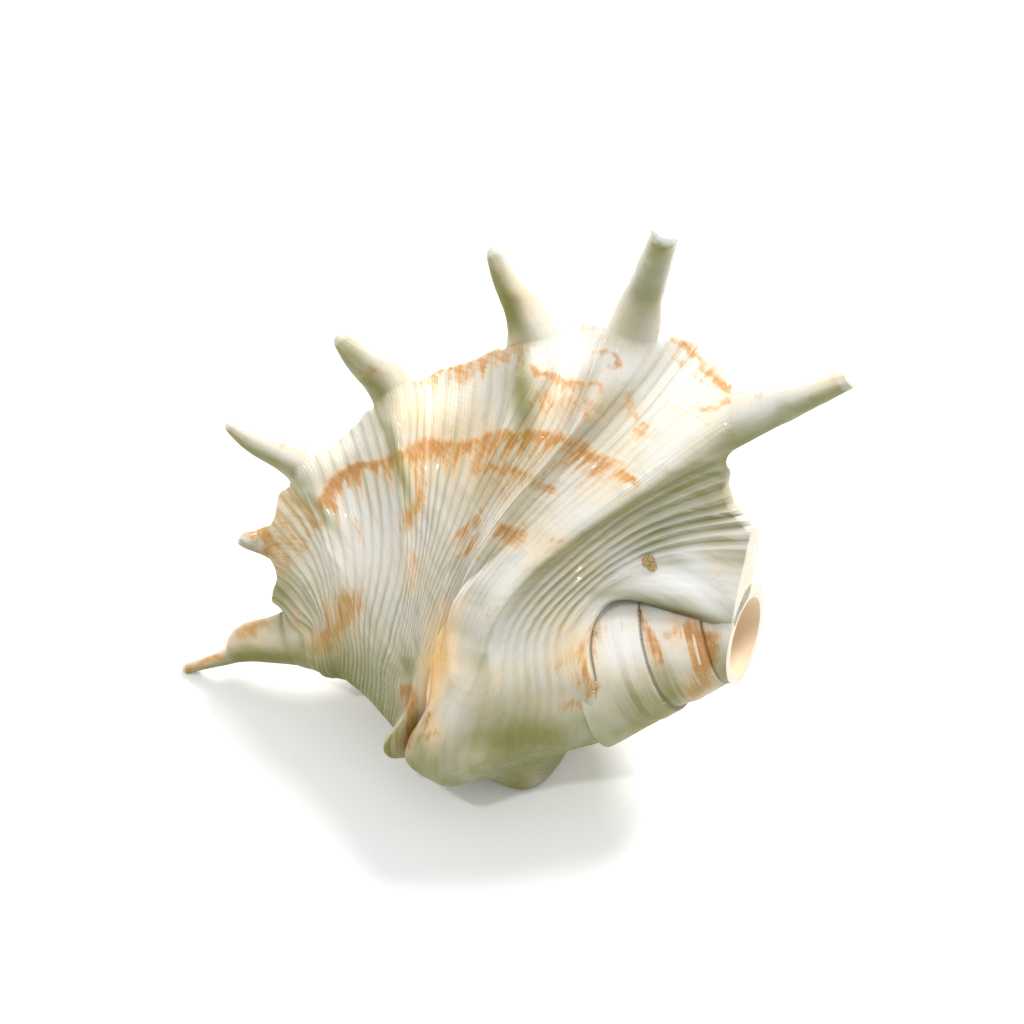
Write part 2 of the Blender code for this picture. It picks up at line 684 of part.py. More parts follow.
def finish(item):
    """Shade round surfaces smooth and keep the sawn face and the worn feet crisp."""
    material = bpy.data.materials.new("shell")
    material.use_nodes = True
    surface = material.node_tree.nodes["Principled BSDF"]
    surface.inputs["Base Color"].default_value = (0.86, 0.83, 0.76, 1.0)
    surface.inputs["Roughness"].default_value = 0.3
    item.data.materials.clear()
    item.data.materials.append(material)
    for face in item.data.polygons:
        face.use_smooth = True
    item.data.set_sharp_from_angle(angle=math.radians(50.0))


clear_scene()
shell = build_shell()
lay_down(shell)
finish(shell)
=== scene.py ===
import math

import bpy
import numpy as np
from mathutils import Matrix, Vector


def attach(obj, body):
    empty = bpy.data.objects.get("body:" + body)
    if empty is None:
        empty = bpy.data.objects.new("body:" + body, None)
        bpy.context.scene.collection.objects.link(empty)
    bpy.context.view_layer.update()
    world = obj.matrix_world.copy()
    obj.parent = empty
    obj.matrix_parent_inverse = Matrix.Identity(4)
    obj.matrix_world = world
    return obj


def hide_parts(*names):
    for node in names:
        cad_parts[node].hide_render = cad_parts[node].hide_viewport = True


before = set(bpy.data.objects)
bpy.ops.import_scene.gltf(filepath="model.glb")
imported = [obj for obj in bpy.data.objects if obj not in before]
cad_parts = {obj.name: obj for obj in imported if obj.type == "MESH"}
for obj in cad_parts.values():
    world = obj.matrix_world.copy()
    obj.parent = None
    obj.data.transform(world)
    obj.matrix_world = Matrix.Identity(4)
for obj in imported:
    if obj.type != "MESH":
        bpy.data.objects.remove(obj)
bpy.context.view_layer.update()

# The giant spider conch shell, drawn in millimetres round its coiling axis: x runs from the
# canal to the spire, y towards the lip and z towards the outside of the back. It is then laid
# down on its feet in metres, where the frame has it.

# Driving dimensions, in millimetres and degrees
SPIRE_POINT_X = 156.0
SPIRE_SLOPE = 0.464
WHORL_GROWTH = 1.45
COIL_START = -460.0
COIL_STEP = 20.0
COIL_POINTS = 24
SAW_POINT = (125.0, 0.0, 0.0)
SAW_NORMAL = (0.95, -0.30, 0.07)
HOLE_RADIUS = 16.0
HOLE_DEPTH = 34.0

# How the shell lies: the direction that is up once it stands on its feet, the side it turns
# to the viewer, and the place of the coiling axis over the ground
REST_UP = (0.3172190, 0.5077304, 0.8009881)
SHOWN_SIDE = (0.342, 0.0, 0.940)
AXIS_PLACE = (-15.4096, -17.8580, 41.8498)

# Where the viewer stands, in the shell's own directions
VIEW_TURN = 20.0
VIEW_ROLL = 3.5
VIEW_DISTANCE = 1120.0
VIEW_SCALE_DISTANCE = 1100.0

# Places along a line: the hollow's blind end, the front of the coil and the lip margin
AT_BLIND_END = 18.0
AT_FRONT = 23.0
AT_MARGIN = 26.0

# Control sections from the canal to the spire. Front x, centre y, centre z, radius, share of
# the coil's slant, forward sweep below, extra radius below, wall, margin wall, core shrink,
# then three points on the wing: near, middle, margin
SECTIONS = {
    "tip": (-129, 1, 0, 2.8, 0, 0, 0, 1.0, 1.0, 0.52),
    "canal a": (-110.5, 4.8, 2, 3.9, 0, 0, 0, 1.5, 1.5, 0.45),
    "canal b": (-101, 10, 3, 9.0, 0.05, 0, 0, 2.2, 2.2, 0.3),
    "canal c": (-80, 11, 4, 12, 0.1, 0, 0, 2.8, 2.8, 0.2),
    "notch": (-62, 12, 2, 16, 0.2, 5, 2, 3.5, 3.0, 0.15,
        (-67, 17, 18), (-74, 23, 14), (-83, 28, 7)),
    "left": (-56, 15, 1, 22, 0.3, 8, 2, 4.0, 3.0, 0.12,
        (-61, 24, 22), (-68, 32, 18), (-78, 40, 12)),
    "finger 0": (-51, 17, 0, 27, 0.4, 9, 0, 4.5, 3.5, 0.12,
        (-56, 33, 29), (-65, 44, 27), (-79, 52, 20)),
    "margin 1": (-46, 17, 0, 30, 0.45, 12, -2, 5.0, 4.0, 0.12,
        (-46, 35, 33), (-53, 55, 33), (-69, 73, 24)),
    "finger 1": (-39, 15, 0, 33, 0.5, 15, -4, 5.0, 4.5, 0.12,
        (-37, 34, 37), (-40, 55, 38), (-52, 78, 36)),
    "margin 2": (-27, 10, 0, 38, 0.6, 20, -7, 5.5, 4.5, 0.12,
        (-21, 37, 43), (-20, 66, 44), (-33, 97, 28)),
    "finger 2": (-8, 1, 0, 43, 0.75, 28, -6.5, 5.5, 5.0, 0.12,
        (-1, 40, 47), (0, 73, 48), (-6, 105, 46)),
    "margin 3": (0, 0, 0, 45, 0.85, 31, -2, 5.5, 5.0, 0.12,
        (8, 45, 50), (15, 80, 50), (13, 118, 32)),
    "finger 3": (9, 1, 0, 47, 0.95, 33, 0, 6.0, 5.5, 0.12,
        (23, 46, 52), (48, 88, 54), (57, 118, 53)),
    "margin 4": (12, 0, 0, 48, 1, 34, 1, 6.0, 5.5, 0.12,
        (31, 48, 54), (63, 89, 55), (70, 132, 28)),
    "finger 4": (16, 0, 0, 49, 1, 34, 2, 6.0, 6.0, 0.12,
        (39, 49, 55), (77, 88, 55), (95, 117, 53)),
    "margin 5": (23, 0, 0, 50, 1, 33, 2, 6.5, 6.0, 0.12,
        (48, 43, 55), (92, 79, 51), (122, 116, 26)),
    "finger 5": (32, 0, 0, 51, 1, 30, 1, 7.0, 7.0, 0.12,
        (58, 36, 54), (98, 63, 50), (134, 82, 42)),
    "right 1": (44, 0, 0, 50, 1, 22, 0, 8.0, 8.0, 0.12,
        (66, 27, 48), (98, 48, 38), (127, 56, 30)),
    "right 2": (60, 0, 0, 46, 1, 15, 0, 9.0, 14.0, 0.12,
        (73, 20, 44), (100, 34, 34), (138, 34, 25)),
    "right 3": (72, 0, 0, 42, 1, 9, 0, 9.0, 16.0, 0.12,
        (80, 15, 39), (100, 12, 31), (138, -2, 20)),
}
SECTION_NUMBER = {name: float(number) for number, name in enumerate(SECTIONS)}

# Fingers: section, half widths to the left and right, reach of the web, middle, tip,
# radii at a third, two thirds and the tip, height and half widths of the ridge that leads in,
# where the rounding of the tip starts and how much it is chipped
FINGERS = (
    ("finger 0", 0.28, 0.28, 2, (-84.5, 54, 23), (-88.8, 56, 25),
     (4.6, 4.0, 2.6), 2.0, 0.3, 0.3, 0.86, 1.6),
    ("finger 1", 0.30, 0.32, 6, (-67, 91, 43), (-79.5, 103, 51),
     (6.4, 4.6, 2.2), 5.5, 0.17, 0.5, 0.93, 0.1),
    ("finger 2", 0.32, 0.36, 7, (-13, 119, 55), (-21.5, 132.8, 64.5),
     (8.0, 5.8, 2.6), 7.0, 0.15, 0.55, 0.93, 0.1),
    ("finger 3", 0.27, 0.36, 7, (54, 139, 63), (51.7, 159.8, 75.6),
     (7.1, 5.1, 2.9), 8.0, 0.14, 0.5, 0.93, 0.3),
    ("finger 4", 0.32, 0.32, 6, (109.5, 138, 63), (124, 158.5, 78.4),
     (7.7, 6.5, 5.4), 7.0, 0.3, 0.36, 0.955, 1.0),
    ("finger 5", 0.28, 0.30, 4, (160.5, 89, 47), (186, 97, 53),
     (7.2, 5.2, 4.0), 7.5, 0.5, 0.26, 0.975, 0.25),
)

# Knobs: section number, half width across lines, place along the line, reach back and
# forward along the line, height
KNOBS = (
    (SECTION_NUMBER["margin 5"], 1.1, 19.6, 1.0, 2.2, 6.0),
    (SECTION_NUMBER["margin 3"] - 0.15, 0.42, 20.1, 1.2, 1.9, 9.5),
    (SECTION_NUMBER["finger 5"] + 0.1, 0.75, 17.4, 0.95, 1.0, 17.5),
    (SECTION_NUMBER["margin 4"] - 0.1, 2.1, 14.6, 1.0, 1.0, 20.5),
    (SECTION_NUMBER["finger 5"] + 0.2, 0.9, 12.4, 0.9, 0.9, 7.0),
)

# Fold of the large front knob, from the back to the wing: place along the line, line of its
# furrow and height. The cords bend with the furrow, which they count as one line
FOLD = ((17.6, 12.4, 0.0), (18.6, 12.4, 4.0), (19.6, 12.3, 8.0), (20.5, 12.2, 8.5), (21.5, 11.7, 8.0),
        (22.25, 11.4, 7.0), (23.0, 11.9, 5.5), (23.4, 13.6, 4.0), (23.75, 14.5, 2.6), (24.25, 15.0, 1.2),
        (24.9, 15.0, 0.0), (25.5, 14.5, 0.0))
FOLD_LINE = 14.5

# Roll of the lobe's edge down to the spire, and of the whorl's edge at the suture: first line
# and depth
LOBE_ROLL = (18.62, 8.5)
SUTURE_ROLL = (18.72, 3.0)

# Distance of the suture from the spire's point after each quarter or half turn inwards
SUTURE_TURNS = (-90.0, 0.0, 90.0, 180.0, 270.0, 360.0, 540.0, 720.0, 1080.0, 1440.0)
SUTURE_LEFT = (92.2, 84.0, 76.55, 72.0, 69.7, 66.7, 55.0, 43.2, 29.5, 20.0)

# Cords counted from the canal to the spire, at some sections
CORDS = ((0, 0.0), (3, 2.0), (4, 4.0), (5, 6.5), (6, 9.0), (8, 16.0), (10, 25.0), (12, 36.0), (14, 44.0),
         (16, 54.0), (17, 58.0), (18, 62.0), (19, 64.0))

# Height of the cords on the wing and on the body, at some lines counted along the cords
CORD_HEIGHT = ((0, 0.1, 0.1), (3, 0.35, 0.25), (6, 0.5, 0.45), (9, 0.45, 0.45), (11, 0.35, 0.35),
               (12, 0.28, 0.28), (14, 0.25, 0.25), (14.6, 0.22, 0.05), (15.9, 0.08, 0.06),
               (16.5, 0.7, 0.16), (17.0, 0.95, 0.16), (18.0, 0.85, 0.14), (18.35, 0.4, 0.08),
               (18.6, 0.0, 0.0), (19, 0.0, 0.0))

# Share of a finger's ridge that runs on down the wing
LONG_RIDGE_SHARE = 0.42

# Where the spire starts inside the body whorl, and where its last whorl thickens to the cut
SPIRE_START_X = 64.0
COLLAR_X = 112.0

# How finely the shell is drawn: lines across, and stretches of a line with their counts of steps
LINES_PER_MM = 1.05
BACK_STEPS = ((0.0, 8.0, 24), (8.0, 16.0, 60), (16.0, AT_FRONT, 90))
WING_STEPS = 120
INNER_STEPS = 60
RIM_STEPS = 10

# Steps of the first line where the loop round the canal's tip starts, and half-way round it
CANAL_LOOP_STEPS = (120, 200)

# How far the fingers are blended into the wing, in millimetres, and how often
ROOT_SMOOTH_REACH = 14.0
ROOT_SMOOTH_ROUNDS = 300

# Stained strokes as the viewer sees them, in millimetres from the coiling axis: points
# across and up, half width on the side of the lip and on the side of the body, strength
STROKES = (
    (((-58, 66), (-52, 73), (-45, 77), (-37, 80), (-28, 83)), 2.0, 7.0, 1.0),
    (((-28, 83), (-18, 87), (-8, 87), (2, 86), (10, 88), (18, 92)), 3.0, 7.5, 0.9),
    (((18, 92), (26, 91), (36, 91), (44, 91), (52, 87), (61, 81)), 2.5, 7.5, 0.95),
    (((8, 80), (17, 77), (26, 76)), 2.0, 4.0, 0.8),
    (((32, 74), (38, 70)), 2.0, 5.0, 0.75),
    (((60, 84), (67, 80)), 1.5, 3.5, 0.7),
    (((64, 78), (72, 73)), 1.5, 4.0, 0.8),
    (((30, 120), (38, 118), (47, 113), (58, 112)), 1.3, 3.5, 0.85),
    (((35, 107), (44, 106), (54, 103)), 4.0, 7.0, 0.5),
    (((70, 108), (74, 100), (77, 92)), 3.0, 3.0, 0.55),
    (((57, 127), (62, 127), (67, 122)), 1.0, 1.6, 0.7),
    (((-15, 118), (-6, 121), (4, 122), (14, 125), (22, 127)), 4.0, 6.0, 0.75),
    (((-62, 103), (-56, 100), (-50, 101)), 1.5, 2.5, 0.6),
    (((-57, 109), (-48, 116), (-38, 120)), 2.0, 3.0, 0.45),
    (((-17, 78), (-17, 66), (-21, 58), (-23, 52)), 3.0, 3.0, 0.7),
    (((-19, 40), (-19, 30)), 2.5, 2.5, 0.45),
    (((-1, 51), (4, 55), (10, 62)), 1.6, 3.0, 0.75),
    (((0, 42), (4, 44), (8, 50)), 1.2, 2.2, 0.75),
    (((19, 52), (25, 51)), 3.5, 4.0, 0.85),
    (((40, 48), (45, 46)), 2.0, 3.0, 0.5),
    (((-46, 22), (-49, 12), (-55, 6)), 5.0, 7.0, 0.9),
    (((-45, 55), (-42, 44)), 2.0, 2.0, 0.4),
    (((-72, 70), (-66, 62), (-60, 54)), 3.0, 3.5, 0.75),
    (((-79, 62), (-72, 52), (-66, 44)), 3.0, 3.0, 0.6),
    (((-84, 52), (-80, 47), (-76, 38)), 5.0, 5.0, 0.95),
    (((-73, 28), (-66, 12)), 3.0, 4.0, 0.35),
    (((-90, 8), (-84, 13)), 3.0, 4.0, 0.6),
    (((-115, -6), (-108, -3), (-100, -1)), 2.0, 2.5, 0.8),
    (((-96, 4), (-99, 1)), 3.0, 3.0, 0.6),
    (((-22, -16), (-21, -26), (-23, -38)), 3.5, 3.5, 1.15),
    (((-13, -26), (-14, -30)), 2.0, 2.0, 0.8),
    (((44, -2), (54, 2), (57, 8)), 4.0, 6.0, 0.55),
    (((44, -21), (50, -22)), 2.5, 2.5, 0.9),
    (((53, -4), (55, -16)), 2.5, 3.5, 0.7),
    (((97, 10), (102, 6), (103, -6), (100, -14)), 4.5, 4.0, 1.25),
    (((76, 18), (80, 8), (84, -4)), 1.3, 2.2, 0.95),
    (((86, 8), (92, 12)), 3.0, 3.0, 0.5),
    (((85, 136), (97, 128), (104, 119), (112, 110), (118, 110)), 2.0, 2.0, 0.85),
    (((88, 128), (97, 119), (104, 111)), 1.2, 1.5, 0.5),
    (((112, 106), (104, 103)), 1.5, 2.0, 0.6),
    (((108, 38), (106, 33)), 1.5, 1.5, 0.5),
    (((-15, -35), (-10, -33)), 1.5, 1.5, 0.6),
)

# Crusts of barnacle and tube worm: across, up, radius and height
CRUSTS = (
    (78.5, 37.5, 2.0, 1.5),
    (81.0, 36.0, 2.2, 1.7),
    (80.5, 39.0, 1.7, 1.2),
    (58.0, -13.5, 1.5, 1.0),
    (56.8, -15.6, 1.2, 0.9),
    (57.5, 9.2, 1.0, 0.7),
    (86.0, -19.3, 0.9, 0.6),
    (105.0, 3.0, 0.8, 0.5),
    (104.6, -8.0, 0.9, 0.6),
)

# Soft patches: across, up, half length, half width, turn in degrees and strength. Peach on
# the flank of the large knob; painted olive shade, standing for shade and green reflected
# light, on the fingers and low flanks; and painted highlights where the shell is brightest
PEACH_PATCHES = (
    (-9.5, -6, 5, 19, -10, 1.6),
    (-11, -30, 5, 9, 0, 0.8),
    (-2, 16, 3, 10, -30, 0.5),
    (48, 0, 11, 12, 0, 0.55),
    (40, -20, 14, 8, 0, 0.35),
    (6, -42, 8, 5, 0, 0.3),
    (92, 8, 6, 8, 0, 0.45),
    (-10, 100, 22, 14, 15, 0.3),
    (28, 70, 26, 14, 25, 0.3),
    (-70, 40, 12, 14, 0, 0.3),
    (-42, 40, 16, 16, 0, 0.3),
)
# Painted shade, tinted olive by green reflected light: on the shaded flanks of the fingers, under the
# lobe's edge and on the low flanks
SHADE_PATCHES = (
    (-42, 122, 18, 5, -52, 0.8),
    (-26.5, 82, 24, 2.2, -75, 1),
    (-59.5, 61, 16, 2.2, -52, 1),
    (17, 146, 18, 5, -80, 1),
    (26, 108, 22, 5, -86, 1),
    (57, 123, 16, 2.5, 68, 0.5),
    (78, 155, 7, 20, -18, 0.6),
    (139, 92, 30, 5, 28, 1),
    (116, 86, 20, 10, 26, 1),
    (-88, 86, 18, 3.5, -35, 0.6),
    (92, 64, 32, 14, 12, 0.4),
    (-76, 28, 8, 20, 10, 1),
    (-68, 70, 5, 5, 0, 0.9),
    (48, -44, 34, 15, 12, 1),
    (84, -26, 30, 8, 20, 0.9),
    (96, -24, 26, 9, 28, 1),
    (66, -34, 14, 12, 30, 1),
    (0, -54, 14, 7, 0, 0.8),
    (30, -62, 16, 8, 0, 1),
    (-50, -12, 26, 9, -32, 1),
    (-90, -8, 26, 5, 6, 0.7),
    (-60, 0, 20, 6, -10, 0.8),
    (70, 24.5, 17, 3, -3, 0.75),
    (98, 16.5, 15, 1.6, -20, 0.6),
)
# Painted highlights: brighter white where light falls strongest, and on the lobe's roll to lift its shade
HIGHLIGHT_PATCHES = (
    (48, 127, 17, 9, 0, 1),
    (66, 122, 10, 8, 0, 0.6),
    (96, 118, 16, 8, -50, 0.3),
    (0, 108, 12, 9, 10, 0.5),
    (36, 68, 20, 7, 30, 0.5),
    (76, 72, 26, 5, 28, 0.35),
    (20, 30, 16, 5, 60, 0.5),
    (100, 34, 8, 14, 20, 0.6),
    (66, 4, 10, 13, 0, 0.8),
    (12, 56, 12, 8, 40, 0.6),
    (-4, -26, 5, 16, 0, 0.4),
    (92, 31, 24, 6, -16, 0.9),
    (104, 20, 12, 4, -22, 0.7),
    (-46, 88, 12, 9, 20, 0.5),
    (-42, 42, 18, 18, 0, 0.7),
)


# Curves

def smooth_step(value):
    value = np.clip(value, 0.0, 1.0)
    return value * value * (3.0 - 2.0 * value)


def bump(value):
    return np.exp(-value * value)


def noise(x, y, seed):
    """Smooth noise between -1 and 1 over a plane."""
    table = np.random.default_rng(seed).uniform(-1.0, 1.0, (64, 64))
    i, j = np.floor(x).astype(int), np.floor(y).astype(int)
    u, v = smooth_step(x - i), smooth_step(y - j)
    low = table[i % 64, j % 64] * (1.0 - u) + table[(i + 1) % 64, j % 64] * u
    high = table[i % 64, (j + 1) % 64] * (1.0 - u) + table[(i + 1) % 64, (j + 1) % 64] * u
    return low * (1.0 - v) + high * v


def through_rows(table, rows):
    """Values at fractional rows of a table, on a curve through its rows."""
    last = len(table) - 1
    rows = np.clip(np.asarray(rows, float), 0.0, last - 1e-9)
    first = np.floor(rows).astype(int)
    t = (rows - first)[:, None]
    longer = np.vstack([2 * table[0] - table[1], table, 2 * table[-1] - table[-2]])
    p0, p1, p2, p3 = (longer[first + step] for step in range(4))
    linear = (p2 - p0) * t
    square = (2 * p0 - 5 * p1 + 4 * p2 - p3) * t**2
    cube = (3 * p1 - p0 - 3 * p2 + p3) * t**3
    return 0.5 * (2 * p1 + linear + square + cube)


def natural_splines(knots, points, places):
    """One natural cubic spline per row of points, read at the places of that row."""
    count, size = knots.shape
    step = np.diff(knots, axis=1)
    slope = np.diff(points, axis=1) / step[..., None]
    matrix = np.zeros((count, size, size))
    right = np.zeros((count, size, 3))
    matrix[:, 0, 0] = 1.0
    matrix[:, -1, -1] = 1.0
    for i in range(1, size - 1):
        matrix[:, i, i - 1] = step[:, i - 1]
        matrix[:, i, i] = 2.0 * (step[:, i - 1] + step[:, i])
        matrix[:, i, i + 1] = step[:, i]
        right[:, i] = 6.0 * (slope[:, i] - slope[:, i - 1])
    bend = np.linalg.solve(matrix, right)
    result = np.zeros((count, places.shape[1], 3))
    for row in range(count):
        i = np.clip(np.searchsorted(knots[row], places[row], side="right") - 1, 0, size - 2)
        h = step[row, i][:, None]
        after = (places[row] - knots[row, i])[:, None]
        before = h - after
        bend_a, bend_b = bend[row, i], bend[row, i + 1]
        curve = (bend_a * before**3 + bend_b * after**3) / (6.0 * h)
        from_a = (points[row, i] / h - bend_a * h / 6.0) * before
        from_b = (points[row, i + 1] / h - bend_b * h / 6.0) * after
        result[row] = curve + from_a + from_b
    return result


def unit(vectors):
    return vectors / (np.linalg.norm(vectors, axis=-1, keepdims=True) + 1e-9)


# Surface of the whorl

def section_table():
    """The control sections as rows of numbers, with the canal's wing points on its circle."""
    rows = []
    for values in SECTIONS.values():
        x, centre_y, centre_z, radius = values[:4]
        wing = values[10:]
        if not wing:
            angles = [math.radians(angle) for angle in (33, 66, 99)]
            wing = [(x, centre_y + radius * math.sin(a), centre_z + radius * math.cos(a)) for a in angles]
        rows.append(list(values[:10]) + [number for point in wing for number in point])
    return np.array(rows, float)


def margin_web(q):
    """How far the margin is drawn out into the webs of the fingers."""
    reach = np.zeros(len(q))
    for name, left, right, web, *_ in FINGERS:
        off = q - SECTION_NUMBER[name]
        beyond = np.maximum(0.0, np.where(off < 0, -off - left, off - right))
        reach += web * bump(beyond / 0.3)
    return reach


def base_surface(q, places):
    """Outside of the whorl without its relief, the wall at each place and the way along it."""
    table = through_rows(section_table(), q)
    x, centre_y, centre_z, radius, slant, sweep, extra, wall, margin_wall, shrink = table[:, :10].T
    angle = COIL_START + COIL_STEP * np.arange(COIL_POINTS)
    growth = WHORL_GROWTH ** (angle / 360.0)
    below = smooth_step(-angle / 75.0) * smooth_step((angle + 170.0) / 75.0)
    core = smooth_step((-angle - 290.0) / 80.0)
    along = (SPIRE_POINT_X - x)[:, None] * (1.0 - growth) * slant[:, None] - sweep[:, None] * below
    out = radius[:, None] * growth * (1.0 - shrink[:, None] * core) + extra[:, None] * below
    sine, cosine = np.sin(np.radians(angle)), np.cos(np.radians(angle))
    across = centre_y[:, None] + out * sine
    upward = centre_z[:, None] + out * cosine
    coil = np.stack([x[:, None] + along, across, upward], -1)
    near, middle, margin = table[:, 10:13], table[:, 13:16], table[:, 16:19]
    margin = margin + unit(margin - middle) * margin_web(q)[:, None]
    controls = np.concatenate([coil, near[:, None], middle[:, None], margin[:, None]], axis=1)
    lengths = np.linalg.norm(np.diff(controls, axis=1), axis=-1)
    knots = np.concatenate([np.zeros((len(q), 1)), np.cumsum(lengths, axis=1)], axis=1)
    number = np.arange(knots.shape[1])
    where = np.stack([np.interp(places[row], number, knots[row]) for row in range(len(q))])
    to_margin = smooth_step((places - AT_FRONT) / (AT_MARGIN - AT_FRONT))
    thickness = wall[:, None] * (1.0 - to_margin) + margin_wall[:, None] * to_margin
    return natural_splines(knots, controls, where), thickness, where


def grid_normals(points):
    along = np.gradient(points, axis=1)
    across = np.gradient(points, axis=0)
    return unit(np.cross(across, along))


def fold_at(place):
    """Line of the furrow beside the large knob, and height of its fold, at some places."""
    rows = through_rows(np.array(FOLD), np.linspace(0.0, len(FOLD) - 1.0, 200))
    return np.interp(place, rows[:, 0], rows[:, 1]), np.interp(place, rows[:, 0], rows[:, 2])


def fold_line(line, place):
    """Lines counted from the furrow, which they bend round."""
    furrow, _ = fold_at(place)
    before = smooth_step((line - 8.5) / (furrow - 8.5))
    after = 1.0 - smooth_step((line - furrow) / (17.5 - furrow))
    return line + (FOLD_LINE - furrow) * np.where(line < furrow, before, after)


def cord_line(line, place):
    """Lines as the cords count them: they bend round the furrow, and run straight on the wing."""
    straight = smooth_step((place - 21.6) / 2.6)
    return line + (fold_line(line, np.minimum(place, 22.6)) - line) * (1.0 - straight)


def quarter_round(t):
    return 1.0 - np.sqrt(1.0 - 0.97 * np.clip(t, 0.0, 1.0) ** 2)


def finger_ridges(line):
    """Height of the ridge of each finger, and how many half widths the lines lie from it."""
    for name, *_, ridge, ridge_left, ridge_right, _, _ in FINGERS:
        off = line - SECTION_NUMBER[name]
        yield ridge, off / np.where(off < 0, ridge_left, ridge_right)


def relief(line, place):
    """Height of the ridges, knobs, fold and rolled edges over the base surface."""
    height = np.zeros_like(line)
    for ridge, off in finger_ridges(line):
        height += ridge * bump(off) * smooth_step((place - 22.6) / 3.4)
    for centre, width, peak, back, forward, knob in KNOBS:
        reach = np.where(place < peak, back, forward)
        height += knob * bump((line - centre) / width) * bump((place - peak) / reach)
    _, fold = fold_at(place)
    beyond = fold_line(line, place) - FOLD_LINE
    flank = 1.0 - quarter_round(1.0 - beyond / 0.4)
    flank = np.where(beyond > 0.0, flank * (1.0 - smooth_step((beyond - 0.4) / 2.4)), 0.0)
    height += fold * (flank - 0.15 * bump(beyond / 0.22))
    over_spire = smooth_step((place - 23.1) / 0.9)
    first, depth = LOBE_ROLL
    height -= depth * over_spire * quarter_round((line - first) / (19.0 - first))
    first, depth = SUTURE_ROLL
    height -= depth * (1.0 - over_spire) * quarter_round((line - first) / (19.0 - first))
    return height


def long_ridges(line, place):
    """The ridges of the fingers where they run on down the wing."""
    height = np.zeros_like(line)
    reach = smooth_step((place - 21.9) / 1.8) * (1.0 - smooth_step((place - 24.6) / 1.4))
    for ridge, off in finger_ridges(line):
        height += LONG_RIDGE_SHARE * ridge * bump(off) * reach
    return height


def cord_count(line):
    places, counts = zip(*CORDS)
    return np.interp(line, places, counts)


def finger_nearness(line, place):
    """One on the smooth ridges that lead into the fingers, nought away from them."""
    near = np.zeros_like(line)
    for _, off in finger_ridges(line):
        near = np.maximum(near, bump(off / 0.7) * smooth_step((place - 24.6) / 1.2))
    return near


def fine_relief(line, place, along):
    """Cords, growth lines and shallow lumps, and how deep each point lies between the cords, which sets
    the painted shade in the grooves.
    """
    bent = cord_line(line, place)
    wander = 0.14 * noise(bent * 1.7, along / 45.0, 11) + 0.04 * noise(bent * 5.0, along / 20.0, 12)
    count = cord_count(bent) + wander
    fan = smooth_step((bent - 16.0) / 0.4)
    valley = 0.5 - 0.5 * np.cos(2.0 * math.pi * count)
    groove = valley ** (2.8 - 1.7 * fan)
    places, on_wing, on_body = zip(*CORD_HEIGHT)
    wing = smooth_step((place - 22.7) / 1.1)
    height = np.interp(bent, places, on_wing) * wing + np.interp(bent, places, on_body) * (1.0 - wing)
    uneven = 0.8 + 0.4 * noise(count * 0.9, along / 30.0, 13)
    fade = 1.0 - 0.85 * finger_nearness(line, place)
    back = 0.3 + 0.7 * smooth_step((place - 16.0) / 3.0)
    amount = height * uneven * fade * back
    threads = 0.12 * np.cos(2.0 * math.pi * 3.0 * count) * fade
    lumps = 0.3 * noise(bent * 1.1, along / 16.0, 14) + 0.12 * noise(bent * 2.6, along / 6.0, 15)
    growth = 0.06 * noise(bent * 0.8, along / 1.3, 16) + 0.08 * noise(bent * 0.6, along / 3.7, 17)
    shade = groove * np.minimum(1.0, amount * (2.2 - 1.1 * fan))
    return lumps + growth + threads * amount - amount * groove, shade


def seen(points):
    """Where the viewer sees points: across and up, and how far towards the viewer."""
    turn, roll = math.radians(VIEW_TURN), math.radians(VIEW_ROLL)
    right = points[..., 0] * math.cos(turn) - points[..., 2] * math.sin(turn)
    nearer = points[..., 0] * math.sin(turn) + points[..., 2] * math.cos(turn)
    larger = VIEW_SCALE_DISTANCE / (VIEW_DISTANCE - nearer)
    across = (right * math.cos(roll) - points[..., 1] * math.sin(roll)) * larger
    upward = (right * math.sin(roll) + points[..., 1] * math.cos(roll)) * larger
    return across, upward


def seen_normals(normals):
    """Share of the normals that points across, up and towards the viewer."""
    turn, roll = math.radians(VIEW_TURN), math.radians(VIEW_ROLL)
    right = normals[..., 0] * math.cos(turn) - normals[..., 2] * math.sin(turn)
    across = right * math.cos(roll) - normals[..., 1] * math.sin(roll)
    upward = right * math.sin(roll) + normals[..., 1] * math.cos(roll)
    return across, upward, normals[..., 0] * math.sin(turn) + normals[..., 2] * math.cos(turn)


def facing_viewer(normals):
    return smooth_step((seen_normals(normals)[2] + 0.05) / 0.3)


def low_side_shade(normals):
    """One on flanks that look down or to the canal, where painted olive shade with green reflected light
    lies.
    """
    across, upward, _ = seen_normals(normals)
    return smooth_step((-0.02 - 0.3 * across - 0.92 * upward) / 0.75)


def patches(points, normals, table):
    """Strength of soft patches on the side that is seen."""
    across, upward = seen(points)
    total = np.zeros(points.shape[:-1])
    for centre_a, centre_b, length, width, angle, strength in table:
        da, db = across - centre_a, upward - centre_b
        c, s = math.cos(math.radians(angle)), math.sin(math.radians(angle))
        along, aside = (da * c + db * s) / length, (db * c - da * s) / width
        total = np.maximum(total, strength * np.exp(-0.8 * (along**2 + aside**2)))
    return total * facing_viewer(normals)


